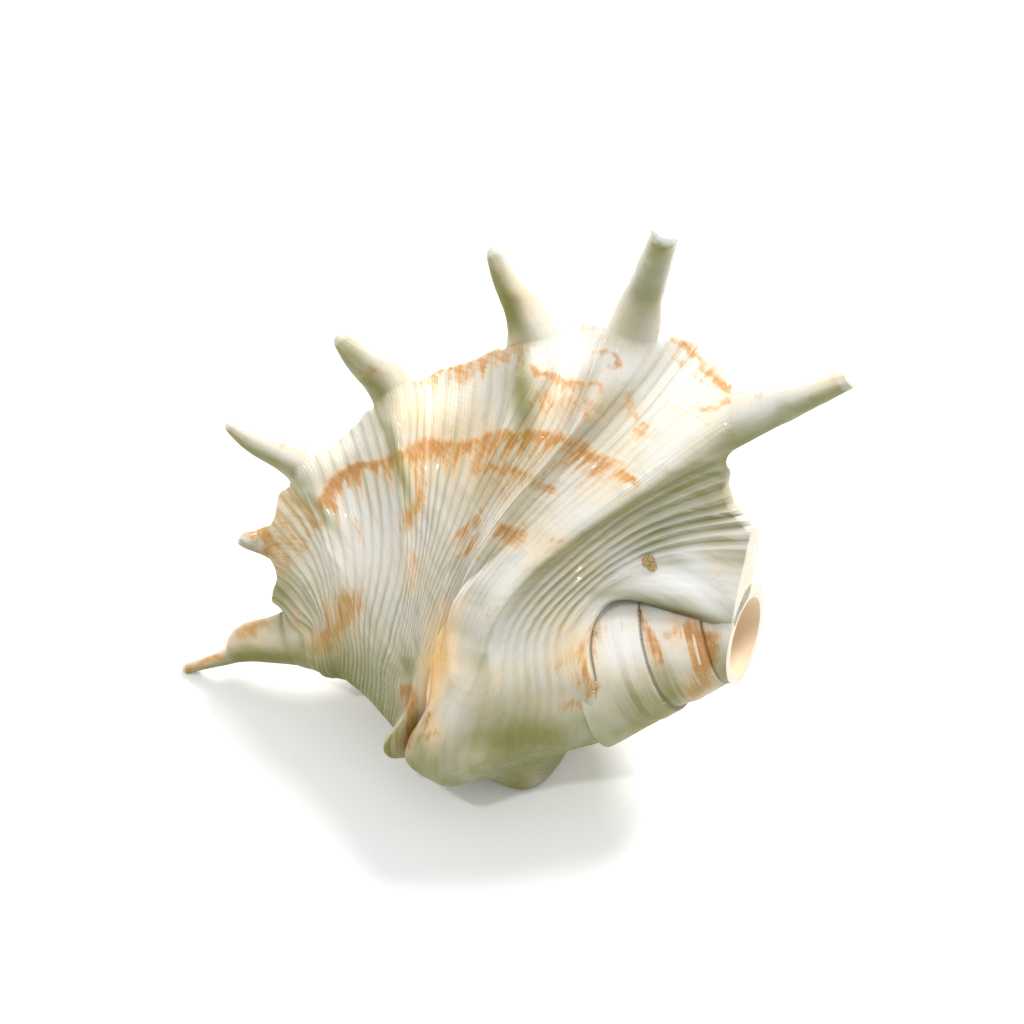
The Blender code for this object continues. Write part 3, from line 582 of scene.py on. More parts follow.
def strokes(points, normals, line, run):
    """Strength of the stained strokes on the side that is seen, and of the tint round them.

    They are crisp towards the lip and fray along the cords towards the body.
    """
    across, upward = seen(points)
    coarse, fine = noise(across / 6.0, upward / 6.0, 42), noise(across / 1.7, upward / 1.7, 43)
    across = across + 1.8 * coarse + 0.6 * fine
    upward = upward + 1.6 * noise(across / 7.0 + 30.0, upward / 7.0, 44)
    frayed = 0.75 + 0.75 * noise(line * 2.6, run / 26.0, 45) + 0.3 * noise(line * 7.0, run / 40.0, 46)
    total = np.zeros(points.shape[:-1])
    tint = np.zeros(points.shape[:-1])
    for path, above, below, strength in STROKES:
        near = np.full(total.shape, 9.0)
        for (a0, b0), (a1, b1) in zip(path, path[1:]):
            length = math.hypot(a1 - a0, b1 - b0)
            c, s = (a1 - a0) / length, (b1 - b0) / length
            along = (across - a0) * c + (upward - b0) * s
            aside = (upward - b0) * c - (across - a0) * s
            past = along - np.clip(along, 0.0, length)
            width = np.where(aside > 0.0, above, below * np.maximum(frayed, 0.2) * 1.5)
            near = np.minimum(near, np.hypot(aside / width, past / (0.6 * (above + below))))
        total = np.maximum(total, strength * np.clip(1.35 - near, 0.0, 1.0))
        tint = np.maximum(tint, strength * np.exp(-0.35 * near * near))
    facing = facing_viewer(normals)
    hidden = 0.9 * smooth_step((noise(across / 9.0, upward / 9.0 + points[..., 2] / 9.0, 41) - 0.3) / 0.5)
    return total * facing + hidden * (1.0 - facing), tint * facing


# Mesh

class Draft:
    """Points and faces of a mesh in the making, with the values that its material reads."""

    def __init__(self):
        self.points = []
        self.faces = []
        self.groups = []
        self.values = {name: [] for name in VALUES}
        self.welds = []
        self.roots = []
        self.count = 0

    def add(self, points, **values):
        """Keep a grid of points with their values, and give the points' numbers."""
        numbers = np.arange(self.count, self.count + points[..., 0].size).reshape(points.shape[:-1])
        self.count += numbers.size
        self.points.append(points.reshape(-1, 3))
        for name in VALUES:
            given = np.broadcast_to(np.asarray(values.get(name, 0.0), float), numbers.shape)
            self.values[name].append(given.reshape(-1))
        return numbers

    def grid(self, numbers, group, closed=False):
        """Faces between the rows of a grid, with one group number or one per gap between rows."""
        if closed:
            numbers = np.concatenate([numbers, numbers[:1]])
        corners = (numbers[:-1, :-1], numbers[1:, :-1], numbers[1:, 1:], numbers[:-1, 1:])
        faces = np.stack(corners, -1)
        per_face = np.broadcast_to(np.asarray(group).reshape(-1, 1), faces.shape[:2])
        self.faces.append(faces.reshape(-1, 4))
        self.groups.append(per_face.reshape(-1))

    def weld(self, numbers, others):
        """Two rows of points that share one rounded surface."""
        self.welds.append((np.asarray(numbers).reshape(-1), np.asarray(others).reshape(-1)))


# Values at the points. The smoothing reads firm, and the material reads the others
VALUES = ("line", "run", "groove", "crack", "inside", "sawn", "depth", "chalk", "crust", "firm")

# The pieces, and the lines at which the back is split into three of them
GROUPS = ("back_by_canal", "back_middle", "back_by_spire", "hollow", "fingers", "spire",
          "sawn_edge", "crusts")
BACK_BY_SPIRE, HOLLOW, FINGER, SPIRE, SAWN_EDGE, GROWTHS = range(2, len(GROUPS))
BACK_SPLITS = (9.0, 13.2)


def line_places():
    """Place of every line, and the first and last line of each finger."""
    margin = section_table()[:, 16:19]
    q = [0.0]
    fingers = []

    def extend(stop, least, density):
        path = through_rows(margin, np.linspace(q[-1], stop, 12))
        length = np.linalg.norm(np.diff(path, axis=0), axis=1).sum()
        count = max(least, round(length * density))
        start = q[-1]
        q.extend(start + (stop - start) * (i + 1) / count for i in range(count))

    for name, left, right, *_ in FINGERS:
        extend(SECTION_NUMBER[name] - left, 6, LINES_PER_MM)
        first = len(q) - 1
        extend(SECTION_NUMBER[name] + right, 18, LINES_PER_MM * 1.6)
        fingers.append((first, len(q) - 1))
    extend(18.4, 40, LINES_PER_MM * 1.5)
    extend(18.9, 16, LINES_PER_MM)
    extend(19.0, 12, LINES_PER_MM)
    return np.array(q), fingers


def saw_height(points):
    """Distance of points outside the saw plane."""
    normal = np.array(SAW_NORMAL) / np.linalg.norm(SAW_NORMAL)
    return (points - np.array(SAW_POINT)) @ normal


def on_saw(points):
    """Points outside the saw plane moved back on to it."""
    normal = np.array(SAW_NORMAL) / np.linalg.norm(SAW_NORMAL)
    return points - np.maximum(saw_height(points), 0.0)[..., None] * normal


def clear_of_hole(points):
    """Points beside the hole pushed out of it."""
    from_axis = np.linalg.norm(points[..., 1:], axis=-1)
    push = np.maximum(1.0, (HOLE_RADIUS + 1.5) / from_axis)
    push = 1.0 + (push - 1.0) * smooth_step((points[..., 0] - 88.0) / 6.0)
    return points * np.stack([np.ones_like(push), push, push], -1)


def sawn_places(q, places, depth_share):
    """Places of every line, with the last ones drawn in where the saw cuts the line."""
    every = np.tile(places, (len(q), 1))
    fine = np.linspace(AT_FRONT, AT_MARGIN, 90)
    surface, thickness, _ = base_surface(q, np.tile(fine, (len(q), 1)))
    normal = grid_normals(surface)
    surface = surface - normal * thickness[..., None] * depth_share
    outside = saw_height(surface) > 0.0
    ends = np.full(len(q), AT_MARGIN)
    for row in np.nonzero(outside.any(axis=1))[0]:
        i = int(np.argmax(outside[row]))
        if i > 0:
            a, b = saw_height(surface[row, i - 1]), saw_height(surface[row, i])
            ends[row] = fine[i - 1] + (fine[i] - fine[i - 1]) * (-a) / (b - a)
    share = np.clip((every - AT_FRONT) / (AT_MARGIN - AT_FRONT), 0.0, 1.0)
    drawn = AT_FRONT + (ends[:, None] - AT_FRONT) * share
    return np.where(every > AT_FRONT, drawn, every), ends


def whorl_cracks_and_shade(line, place):
    """One in the dark line along the suture, which is painted shade with some real dark colour, and in
    the furrow beside the large knob, which is painted shade.
    """
    suture = smooth_step((line - 18.86) / 0.1) * smooth_step((place - 17.0) / 1.0)
    suture = suture * (1.0 - smooth_step((place - 25.2) / 0.4))
    furrow = bump((fold_line(line, place) - FOLD_LINE + 0.05) / 0.12)
    return np.maximum(suture, 0.8 * furrow * bump((place - 20.6) / 1.9))


def rounded_rim(outer, inner, edge):
    """Half circles from the outside to the inside of the wall along the lip margin."""
    turns = np.linspace(0.0, math.pi, RIM_STEPS + 1)
    middle = (outer[:, -1] + inner[:, 0]) / 2.0
    half = (outer[:, -1] - inner[:, 0]) / 2.0
    bulge = edge * np.linalg.norm(half, axis=1)[:, None]
    rim = middle[:, None] + half[:, None] * np.cos(turns)[None, :, None]
    return on_saw(clear_of_hole(rim + bulge[:, None] * np.sin(turns)[None, :, None]))


def close_blind_end(draft, outer, inner):
    """Rounded wall where the hollow ends inside the shell."""
    start, stop = inner[:, -1], outer[:, 0]
    deeper = unit(inner[:, -1] - inner[:, -2]) * 0.3 * np.linalg.norm(stop - start, axis=1)[:, None]
    share = np.linspace(0.0, 1.0, 6)[None, :, None]
    blind = start[:, None] + (stop - start)[:, None] * share + deeper[:, None] * np.sin(math.pi * share)
    draft.grid(draft.add(blind, inside=1.0), HOLLOW)


def draw_whorl(draft):
    """The whorl with its hollow, wing and fingers."""
    q, fingers = line_places()
    stretches = [np.linspace(start, stop, count, endpoint=False) for start, stop, count in BACK_STEPS]
    outer_steps = np.concatenate([*stretches, np.linspace(AT_FRONT, AT_MARGIN, WING_STEPS)])
    inner_steps = np.linspace(AT_MARGIN, AT_BLIND_END, INNER_STEPS)
    outer_places, outer_ends = sawn_places(q, outer_steps, 0.0)
    inner_places, _ = sawn_places(q, inner_steps, 1.0)
    base, thickness, run = base_surface(q, outer_places)
    line = np.tile(q[:, None], (1, len(outer_steps)))
    outward = grid_normals(base)
    shape = base + outward * (relief(line, outer_places) + long_ridges(line, outer_places))[..., None]
    outward = grid_normals(shape)
    fine, groove = fine_relief(line, outer_places, run)
    outer = on_saw(shape + outward * fine[..., None])
    under, under_thickness, under_run = base_surface(q, inner_places)
    inner = on_saw(clear_of_hole(under + grid_normals(under) * under_thickness[..., None]))

    count = cord_count(cord_line(line, outer_places))
    # Painted shade along the suture and in the furrow
    crack = whorl_cracks_and_shade(line, outer_places)
    outer_rows = draft.add(outer, line=count, run=run, groove=groove, crack=crack)
    inner_line = np.tile(cord_count(q)[:, None], (1, len(inner_steps)))
    inner_rows = draft.add(inner, line=inner_line, run=under_run, inside=1.0)
    centre = (q[:-1] + q[1:]) / 2.0
    draft.grid(outer_rows, np.searchsorted(BACK_SPLITS, centre))
    draft.grid(inner_rows, HOLLOW)

    edge = unit(outer[:, -1] - outer[:, -4])
    cut = outer_ends < AT_MARGIN - 1e-6
    rim = rounded_rim(outer, inner, edge)
    depth = np.tile(np.linspace(0.0, 1.0, RIM_STEPS + 1), (len(q), 1))
    sawn = (saw_height(rim) > -0.05).astype(float)
    rim_line = np.tile(cord_count(q)[:, None], (1, RIM_STEPS + 1))
    rim_run = run[:, -1][:, None] + depth * 4.0
    rim_rows = draft.add(rim, line=rim_line, run=rim_run, sawn=sawn, depth=depth)
    inside_finger = np.zeros(len(q), bool)
    for first, last in fingers:
        inside_finger[first + 1:last] = True
    for j in range(len(q) - 1):
        if not any(first <= j < last for first, last in fingers):
            draft.grid(rim_rows[j:j + 2], SAWN_EDGE)
    whole = ~cut & ~inside_finger
    draft.weld(rim_rows[whole, 0], outer_rows[whole, -1])
    draft.weld(rim_rows[whole, -1], inner_rows[whole, 0])

    close_blind_end(draft, outer, inner)
    for (first, last), finger in zip(fingers, FINGERS):
        chosen = np.arange(first, last + 1)
        top = outer_rows[chosen, -1]
        low = inner_rows[chosen[::-1], 0]
        ring = np.concatenate([top, rim_rows[last, 1:-1], low, rim_rows[first, -2:0:-1]])
        over, below = outer[chosen, -1], inner[chosen[::-1], 0]
        points = np.concatenate([over, rim[last, 1:-1], below, rim[first, -2:0:-1]])
        middle = (first + last) // 2
        draw_finger(draft, finger, points, ring, last - first, edge[middle], outward[middle, -1])
        draft.roots.append(points.mean(axis=0))
    close_canal(draft, outer, outer_rows)
    roll_last_line(draft, q, outer, outer_rows, outer_places, run)


def finger_course(root, middle, tip, outward):
    """The centre line of a finger and its direction, by the share of the way to the tip."""
    share = np.linalg.norm(middle - root)
    share /= share + np.linalg.norm(tip - middle)

    def through_points(t):
        at_root = (t - share) * (t - 1.0) / share
        at_middle = t * (t - 1.0) / (share * (share - 1.0))
        at_tip = t * (t - share) / (1.0 - share)
        return at_root * root + at_middle * middle + at_tip * tip

    start = (through_points(0.01) - root) / 0.01
    bend = 0.35 * (outward * np.linalg.norm(start) - start)

    def centre(t):
        return through_points(t) + bend * t * (1.0 - min(t, 1.0)) ** 2

    def direction(t):
        return unit(centre(t + 0.01) - centre(t - 0.01))

    return centre, direction


def finger_roughness(angles, t, reach, seed, chips):
    """Unevenness round a finger, with chips near a broken tip."""
    x, y = np.cos(angles), np.sin(angles)
    rough = 0.1 * noise(x * 2.0 + 9.0, y * 2.0 + t * reach / 2.5, seed)
    rough += 0.12 * noise(x + 7.0, y + t * reach / 7.0, seed + 1)
    broken = chips * smooth_step((t - 0.86) / 0.08)
    return rough + broken * noise(x * 2.6 + 5.0, y * 2.6 + t * reach / 1.7, seed + 2)


def draw_finger(draft, finger, points, ring, width_count, outward, normal):
    """One finger, as rings of points that start on the ring of its root."""
    *_, middle, tip, radii, _, _, _, blunt, chips = finger
    root = points.mean(axis=0)
    middle, tip = np.array(middle, float), np.array(tip, float)
    centre, direction = finger_course(root, middle, tip, outward)
    ahead = direction(0.0)
    side = points[width_count] - points[0]
    side = unit(side - ahead * (side @ ahead))
    up = np.cross(ahead, side)
    turn = 1.0 if up @ normal > 0 else -1.0
    local = np.stack([(points - root) @ side, (points - root) @ (turn * up), (points - root) @ ahead], -1)
    radius = np.linalg.norm(local[:, :2], axis=1).mean()
    top = np.linspace(0.9, 0.1, width_count + 1)
    edge = np.linspace(0.1, -0.1, RIM_STEPS + 1)[1:-1]
    angles = math.pi * np.concatenate([top, edge, -top[::-1], edge - 1.0])
    widths = np.array([[radius], [radii[0]], [radii[1]], [radii[2]]])
    reach = np.linalg.norm(middle - root) + np.linalg.norm(tip - middle)
    fade = min(0.95, max(0.3, 2.0 * np.abs(local[:, 2]).max() / reach))
    rounded = np.sin(np.linspace(0.1, 1.0, 10) * math.pi / 2.0)
    stops = np.concatenate([np.linspace(0.0, blunt, 56), blunt + (1.0 - blunt) * rounded])
    rows = []
    seed = int(abs(tip[0])) + 3
    for t in stops:
        ahead = direction(t)
        side = unit(side - ahead * (side @ ahead))
        up = turn * np.cross(ahead, side)
        size = through_rows(widths, [3.0 * t])[0, 0]
        if t > blunt:
            size *= math.sqrt(max(0.0, 1.0 - ((t - blunt) / (1.0 - blunt)) ** 2))
        blend = smooth_step(t / 0.45)
        across = local[:, 0] * size / radius * (1.0 - blend) + size * np.cos(angles) * blend
        flat = 0.62 + 0.38 * smooth_step((t - 0.15) / 0.5)
        upward = local[:, 1] * size / radius * (1.0 - blend) + size * flat * np.sin(angles) * blend
        along = local[:, 2] * (1.0 - smooth_step(t / fade))
        away = smooth_step(t / 0.15)
        rough = finger_roughness(angles, t, reach, seed, chips)
        across = across * (1.0 + away * rough / radius * 1.2)
        upward = upward * (1.0 + away * rough / radius * 1.2)
        place = centre(t) + across[:, None] * side + upward[:, None] * up + along[:, None] * ahead
        if len(rows) == 0:
            place = points
        rows.append(place)
    grid = np.stack(rows, axis=1)
    run = np.tile(reach * stops, (len(points), 1)) + 200.0
    whitened = 1.0 if chips > 0.5 else 0.35
    chalk = np.tile(smooth_step((stops - 0.9) / 0.05) * whitened, (len(points), 1))
    around = np.tile(angles[:, None] * 0.3, (1, len(stops))) + seed
    firm = np.tile(smooth_step((stops - 0.35) / 0.35), (len(points), 1))
    numbers = draft.add(grid, line=around, run=run, chalk=chalk, firm=firm)
    draft.grid(numbers, FINGER, closed=True)
    draft.weld(numbers[:, 0], ring)


def close_canal(draft, outer, outer_rows):
    """Dome over the canal's tip."""
    first, middle = CANAL_LOOP_STEPS
    loop = outer[0, first:]
    centre = loop.mean(axis=0)
    forward = unit(outer[0, middle] - outer[6, middle])
    rows = []
    for t in np.linspace(0.0, 1.0, 9):
        size = math.sqrt(max(0.0, 1.0 - t * t))
        rows.append(centre + (loop - centre) * size + forward * 2.2 * t)
    dome = np.stack(rows[::-1], axis=0)
    numbers = draft.add(dome, line=0.3, run=5.0, chalk=0.4)
    draft.grid(numbers.T[::-1], FINGER, closed=True)
    draft.weld(numbers[-1], outer_rows[0, first:])


def roll_last_line(draft, q, outer, outer_rows, outer_places, run):
    """Roll the whorl's last line over towards the spire."""
    first = int(np.searchsorted(outer_places[-1], 3.5))
    places = outer_places[-3:, first:]
    base, thickness, _ = base_surface(q[-3:], places)
    outward = grid_normals(base)[-1]
    behind = outer[-1, first:] - outer[-4, first:]
    along = unit(np.gradient(outer[-1, first:], axis=0))
    aside = unit(behind - along * (behind * along).sum(-1, keepdims=True))
    place = places[-1]
    wall = np.where(place < AT_BLIND_END, 6.0, thickness[-1])
    half = outward * wall[:, None] / 2.0
    round_edge = 0.1 + 0.25 * smooth_step((place - 22.6) / 1.2)
    turns = np.linspace(0.0, math.pi, 25)
    middle = outer[-1, first:] - half
    arc = middle[None] + half[None] * np.cos(turns)[:, None, None]
    arc = arc + aside[None] * (round_edge * wall / 2.0)[None, :, None] * np.sin(turns)[:, None, None]
    arc = on_saw(clear_of_hole(arc))
    sawn = (saw_height(arc) > -0.05).astype(float)
    lines = np.tile(64.0 + turns[:, None], (1, arc.shape[1]))
    runs = np.tile(run[-1, first:], (len(turns), 1))
    numbers = draft.add(arc, line=lines, run=runs, sawn=sawn, depth=0.3)
    draft.grid(numbers, BACK_BY_SPIRE)
    draft.weld(numbers[0], outer_rows[-1, first:])


# Spire

def spire_radius(x, angle):
    """Radius of the spire with a step where one whorl laps over the next, and the step's place."""
    left = np.maximum(SPIRE_POINT_X - x, 1.0)
    inwards = -angle + 0.0 * x
    turns = np.full(inwards.shape, -1.0)
    for turn in range(-1, 4):
        start = np.interp(inwards + 360.0 * turn, SUTURE_TURNS, SUTURE_LEFT)
        stop = np.interp(inwards + 360.0 * (turn + 1), SUTURE_TURNS, SUTURE_LEFT)
        share = (np.log(start) - np.log(left)) / (np.log(start) - np.log(stop) + 1e-9)
        turns = np.where((share >= 0.0) & (share < 1.0), turn + share, turns)
    phase = turns - np.floor(turns)
    wound = np.where(inwards > 180.0, inwards - 360.0, inwards)
    edges = [np.interp(wound + angle, SUTURE_TURNS, SUTURE_LEFT) for angle in (0.0, 360.0)]
    between = edges[0] + edges[1]
    bare = smooth_step((between / 2.0 - left) / 4.0 + 0.5)
    bare = np.maximum(bare, smooth_step((wound - 110.0) / 70.0))
    step = bare * (-0.035 + 0.055 * smooth_step(phase / 0.4))
    # Dark line in the suture's step: a shallow dent, and painted shade with some real dark colour
    crack = bare * (bump(phase / 0.02) + bump((phase - 1.0) / 0.008))
    plain = SPIRE_SLOPE * left * (1.0 + step) - 0.3 * crack
    collar = 18.4 + 1.8 * smooth_step((x - (COLLAR_X + 3.0)) / 6.0)
    collar = collar + 3.0 * bump((angle + 300.0) / 38.0) * smooth_step((x - (COLLAR_X + 1.0)) / 6.0)
    return np.where(x > COLLAR_X, np.maximum(plain, collar), plain), turns, crack


def draw_spire(draft):
    """The spire from inside the body whorl to the saw cut, the cut ring and the hole."""
    sides = 280
    rows = 210
    angles = np.linspace(-540.0, -180.0, sides, endpoint=False)
    turn = np.radians(angles)
    t = np.linspace(0.0, 1.0, rows)
    tilt = SAW_NORMAL[1] * np.sin(turn) + SAW_NORMAL[2] * np.cos(turn)
    end = np.full(sides, SAW_POINT[0])
    for _ in range(6):
        radius, _, _ = spire_radius(end, angles)
        end = SAW_POINT[0] - tilt * radius / SAW_NORMAL[0]
    x = SPIRE_START_X + (end[:, None] - SPIRE_START_X) * t[None, :]
    radius, turns, crack = spire_radius(x, angles[:, None])
    up = np.cos(turn)[:, None]
    back = np.sin(turn)[:, None]
    rough = 0.12 * noise(x / 7.0, up * 4.0 + 20.0, 31)
    rough = rough + 0.12 * noise(x / 7.0 + 30.0, back * 4.0 + 20.0, 32)
    threads = 0.012 * np.cos(2.0 * math.pi * turns * 9.0) + 0.03 * noise(x / 2.0, up * 14.0, 33)
    radius = radius + (rough + threads) * (1.0 - smooth_step((x - COLLAR_X) / 4.0))
    points = np.stack([x, radius * back, radius * up], -1)
    count = turns * 9.0 + 70.0
    run = angles[:, None] / 4.0 + 0.0 * x + 300.0
    numbers = draft.add(points, line=count, run=run, crack=np.clip(crack, 0.0, 1.0))
    draft.grid(numbers[::-1], SPIRE, closed=True)

    hole_x = SAW_POINT[0] - tilt * HOLE_RADIUS / SAW_NORMAL[0]
    draw_cut_ring(draft, points[:, -1], hole_x, turn, run[:, :1])
    draw_sawn_hollow(draft, hole_x, turn)


def draw_cut_ring(draft, outer, hole_x, turn, run):
    """Flat ring that the saw leaves round the hole."""
    share = np.linspace(0.0, 1.0, 8)
    hole = np.stack([hole_x, HOLE_RADIUS * np.sin(turn), HOLE_RADIUS * np.cos(turn)], -1)
    ring = outer[:, None] + (hole - outer)[:, None] * share[None, :, None]
    numbers = draft.add(ring, sawn=1.0, depth=np.tile(share, (len(turn), 1)), line=80.0, run=run)
    draft.grid(numbers[::-1], SAWN_EDGE, closed=True)


def draw_sawn_hollow(draft, hole_x, turn):
    """The hollow behind the hole, which bends away inside the spire."""
    rows = []
    for deep in np.concatenate([np.linspace(0.0, 0.8, 26), np.linspace(0.83, 1.0, 12)]):
        size = HOLE_RADIUS * (1.0 - 0.45 * deep)
        if deep > 0.8:
            size *= math.sqrt(max(0.0, 1.0 - ((deep - 0.8) / 0.2) ** 2))
        bend = 6.0 * deep * deep
        blend = smooth_step(deep / 0.3)
        inward = SAW_POINT[0] - HOLE_DEPTH * deep
        place_x = (hole_x - HOLE_DEPTH * deep) * (1.0 - blend) + inward * blend
        ring_y = bend + size * np.sin(turn)
        ring_z = -0.5 * bend + size * np.cos(turn)
        rows.append(np.stack([place_x, ring_y, ring_z], -1))
    inside = np.stack(rows, axis=1)
    numbers = draft.add(inside, line=85.0, run=300.0, inside=1.0, depth=1.0)
    draft.grid(numbers[::-1], SAWN_EDGE, closed=True)


# Crusts

def draw_crusts(draft):
    """Small lumpy growths that sit on the shell where the viewer sees them."""
    surface = np.concatenate(draft.points)
    across, upward = seen(surface)
    turn = math.radians(VIEW_TURN)
    toward = np.array([math.sin(turn), 0.0, math.cos(turn)])
    for number, (a, b, radius, height) in enumerate(CRUSTS):
        close = np.nonzero(np.hypot(across - a, upward - b) < 1.2)[0]
        foot = surface[close[np.argmax(surface[close] @ toward)]]
        around = surface[np.linalg.norm(surface - foot, axis=1) < radius + 1.0]
        normal = np.linalg.svd(around - around.mean(axis=0))[2][2]
        normal *= 1.0 if normal @ toward > 0 else -1.0
        side = unit(np.cross(normal, [0.0, 1.0, 0.0]))
        other = np.cross(normal, side)
        angles = np.linspace(0.0, 2.0 * math.pi, 36, endpoint=False)[:, None]
        share = np.linspace(0.0, 1.0, 14)[None, :]
        edge = 1.0 + 0.3 * noise(np.cos(angles) * 1.5 + 5.0, np.sin(angles) * 1.5 + number * 3.0, 51)
        out = radius * share * edge
        x, y = out * np.cos(angles), out * np.sin(angles)
        lumps = 0.75 + 0.55 * noise(x / 0.8 + 9.0, y / 0.8 + number * 5.0, 52)
        lift = (height * lumps + 0.6) * (1.0 - share**3) - 0.4 * share**3
        grid = foot + x[..., None] * side + y[..., None] * other + lift[..., None] * normal
        draft.grid(draft.add(grid, line=90.0 + x, run=y, crust=1.0), GROWTHS, closed=True)


# Blender objects

def laid_down(points):
    """Points as the shell lies on its feet, in metres."""
    up = unit(np.array(REST_UP))
    shown = np.array(SHOWN_SIDE)
    front = unit(shown - up * (shown @ up))
    axes = np.stack([np.cross(-front, up), -front, up])
    return (points @ axes.T + np.array(AXIS_PLACE)) * 0.001


def vertex_normals(points, faces, welds):
    """Normals at the points, shared where two rows of points are one surface."""
    total = np.zeros_like(points)
    a, b, c, d = (points[faces[:, k]] for k in range(4))
    face_normal = np.cross(c - a, d - b)
    for k in range(4):
        np.add.at(total, faces[:, k], face_normal)
    for numbers, others in welds:
        both = total[numbers] + total[others]
        total[numbers] = both
        total[others] = both
    return unit(total)


def smooth_roots(points, faces, groups, welds, roots, firm):
    """Blend the fingers into the wing by averaging the points near their roots.

    On the fingers this runs along them only, so that it doesn't thin them, and it leaves
    firm points alone.
    """
    same = np.arange(len(points))
    for numbers, others in welds:
        same[numbers] = others
    distance = np.min([np.linalg.norm(points - root, axis=1) for root in roots], axis=0)
    weight = 0.6 * smooth_step((ROOT_SMOOTH_REACH + 8.0 - distance) / ROOT_SMOOTH_REACH) * (1.0 - firm)
    close = (weight[faces] > 0.0).any(axis=1)
    near = faces[close]
    wing = faces[close & (groups != FINGER)]
    pairs = np.concatenate([near[:, [0, 3]], near[:, [1, 2]], wing[:, [0, 1]], wing[:, [2, 3]]])
    pairs = same[np.concatenate([pairs, pairs[:, ::-1]])]
    pairs = np.unique(pairs[pairs[:, 0] != pairs[:, 1]], axis=0)
    used, index = np.unique(pairs, return_inverse=True)
    index = index.reshape(pairs.shape)
    place = points[used]
    share = weight[used][:, None]
    count = np.bincount(index[:, 0], minlength=len(used))[:, None]
    for _ in range(ROOT_SMOOTH_ROUNDS):
        sums = [np.bincount(index[:, 0], place[index[:, 1], k], len(used)) for k in range(3)]
        place = place + share * (np.stack(sums, -1) / count - place)
    moved = points.copy()
    moved[used] = place
    return moved[same]


def add_colour_values(values, points, normals):
    """Add the stains, tints, painted highlights and painted olive shade at the points to their values."""
    values["stain"], tint = strokes(points, normals, values["line"], values["run"])
    values["blush"] = np.maximum(patches(points, normals, PEACH_PATCHES), 0.4 * tint)
    # Painted highlights
    values["highlight"] = patches(points, normals, HIGHLIGHT_PATCHES)
    # Painted shade, tinted olive by green reflected light, on flanks that face down and in the patches;
    # less of it under painted highlights and peach
    olive_shade = np.maximum(patches(points, normals, SHADE_PATCHES), low_side_shade(normals))
    less_shade = np.minimum(1.0, np.maximum(values["highlight"], values["blush"]))
    values["olive_shade"] = olive_shade * (1.0 - 0.8 * less_shade)


def make_pieces(draft, material):
    """One object for each group of faces, with shading that runs on from piece to piece."""
    faces = np.concatenate(draft.faces)
    groups = np.concatenate(draft.groups)
    values = {name: np.concatenate(draft.values[name]) for name in VALUES}
    drawn = np.concatenate(draft.points)
    points = smooth_roots(drawn, faces, groups, draft.welds, draft.roots, values.pop("firm"))
    add_colour_values(values, points, vertex_normals(points, faces, draft.welds))
    points = laid_down(points)
    points[:, 2] = np.maximum(points[:, 2], 0.0)
    normals = vertex_normals(points, faces, draft.welds)
    for group, name in enumerate(GROUPS):
        chosen = faces[groups == group]
        used, renumbered = np.unique(chosen, return_inverse=True)
        corners = renumbered.reshape(chosen.shape)
        mesh = bpy.data.meshes.new(name)
        rows = [tuple(dict.fromkeys(row)) for row in corners.tolist()]
        mesh.from_pydata(points[used].tolist(), [], [row for row in rows if len(row) > 2])
        for value, numbers in values.items():
            layer = mesh.attributes.new(value, "FLOAT", "POINT")
            layer.data.foreach_set("value", numbers[used].astype(np.float32))
        mesh.polygons.foreach_set("use_smooth", [True] * len(mesh.polygons))
        mesh.normals_split_custom_set_from_vertices(normals[used].tolist())
        mesh.materials.append(material)
        piece = bpy.data.objects.new(name, mesh)
        bpy.context.scene.collection.objects.link(piece)
        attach(piece, "root")
        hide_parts("shell")


# Material

class Nodes:
    """Small helper that adds nodes to a material and links what they are given."""

    def __init__(self, name):
        self.material = bpy.data.materials.new(name)
        self.material.use_nodes = True
        self.tree = self.material.node_tree
        self.surface = self.tree.nodes["Principled BSDF"]

    def add(self, kind, inputs=(), output=0, **settings):
        node = self.tree.nodes.new(kind)
        for name, value in settings.items():
            setattr(node, name, value)
        for key, value in dict(inputs).items():
            self.put(node.inputs[key], value)
        return node.outputs[output]

    def put(self, socket, value):
        if isinstance(value, bpy.types.NodeSocket):
            self.tree.links.new(value, socket)
        else:
            socket.default_value = value

    def value(self, name):
        return self.add("ShaderNodeAttribute", output="Fac", attribute_name=name)

    def sum(self, a, b):
        return self.add("ShaderNodeMath", {0: a, 1: b}, operation="ADD")

    def times(self, a, b):
        return self.add("ShaderNodeMath", {0: a, 1: b}, operation="MULTIPLY")

    def ramp(self, value, low, high, start=0.0, stop=1.0):
        """Value carried smoothly from low..high to start..stop."""
        inputs = {"Value": value, "From Min": low, "From Max": high, "To Min": start, "To Max": stop}
        return self.add("ShaderNodeMapRange", inputs, interpolation_type="SMOOTHSTEP")

    def mix(self, share, a, b):
        node = self.tree.nodes.new("ShaderNodeMix")
        node.data_type = "RGBA"
        self.put(node.inputs["Factor"], share)
        self.put(node.inputs[6], a)
        self.put(node.inputs[7], b)
        return node.outputs[2]

    def place(self, x, y, z=0.0):
        return self.add("ShaderNodeCombineXYZ", {0: x, 1: y, 2: z})

    def noise(self, vector, scale, detail=3.0, roughness=0.55):
        inputs = {"Vector": vector, "Scale": scale, "Detail": detail, "Roughness": roughness}
        return self.add("ShaderNodeTexNoise", inputs, output="Fac")


WHITE = (0.68, 0.675, 0.645, 1.0)
# Painted highlight colour
HIGHLIGHT_WHITE = (0.88, 0.885, 0.88, 1.0)
CREAM = (0.74, 0.62, 0.42, 1.0)
MILKY = (0.52, 0.57, 0.56, 1.0)
# Painted shade in the grooves between the cords, with green reflected light
GROOVE_SHADE = (0.25, 0.235, 0.08, 1.0)
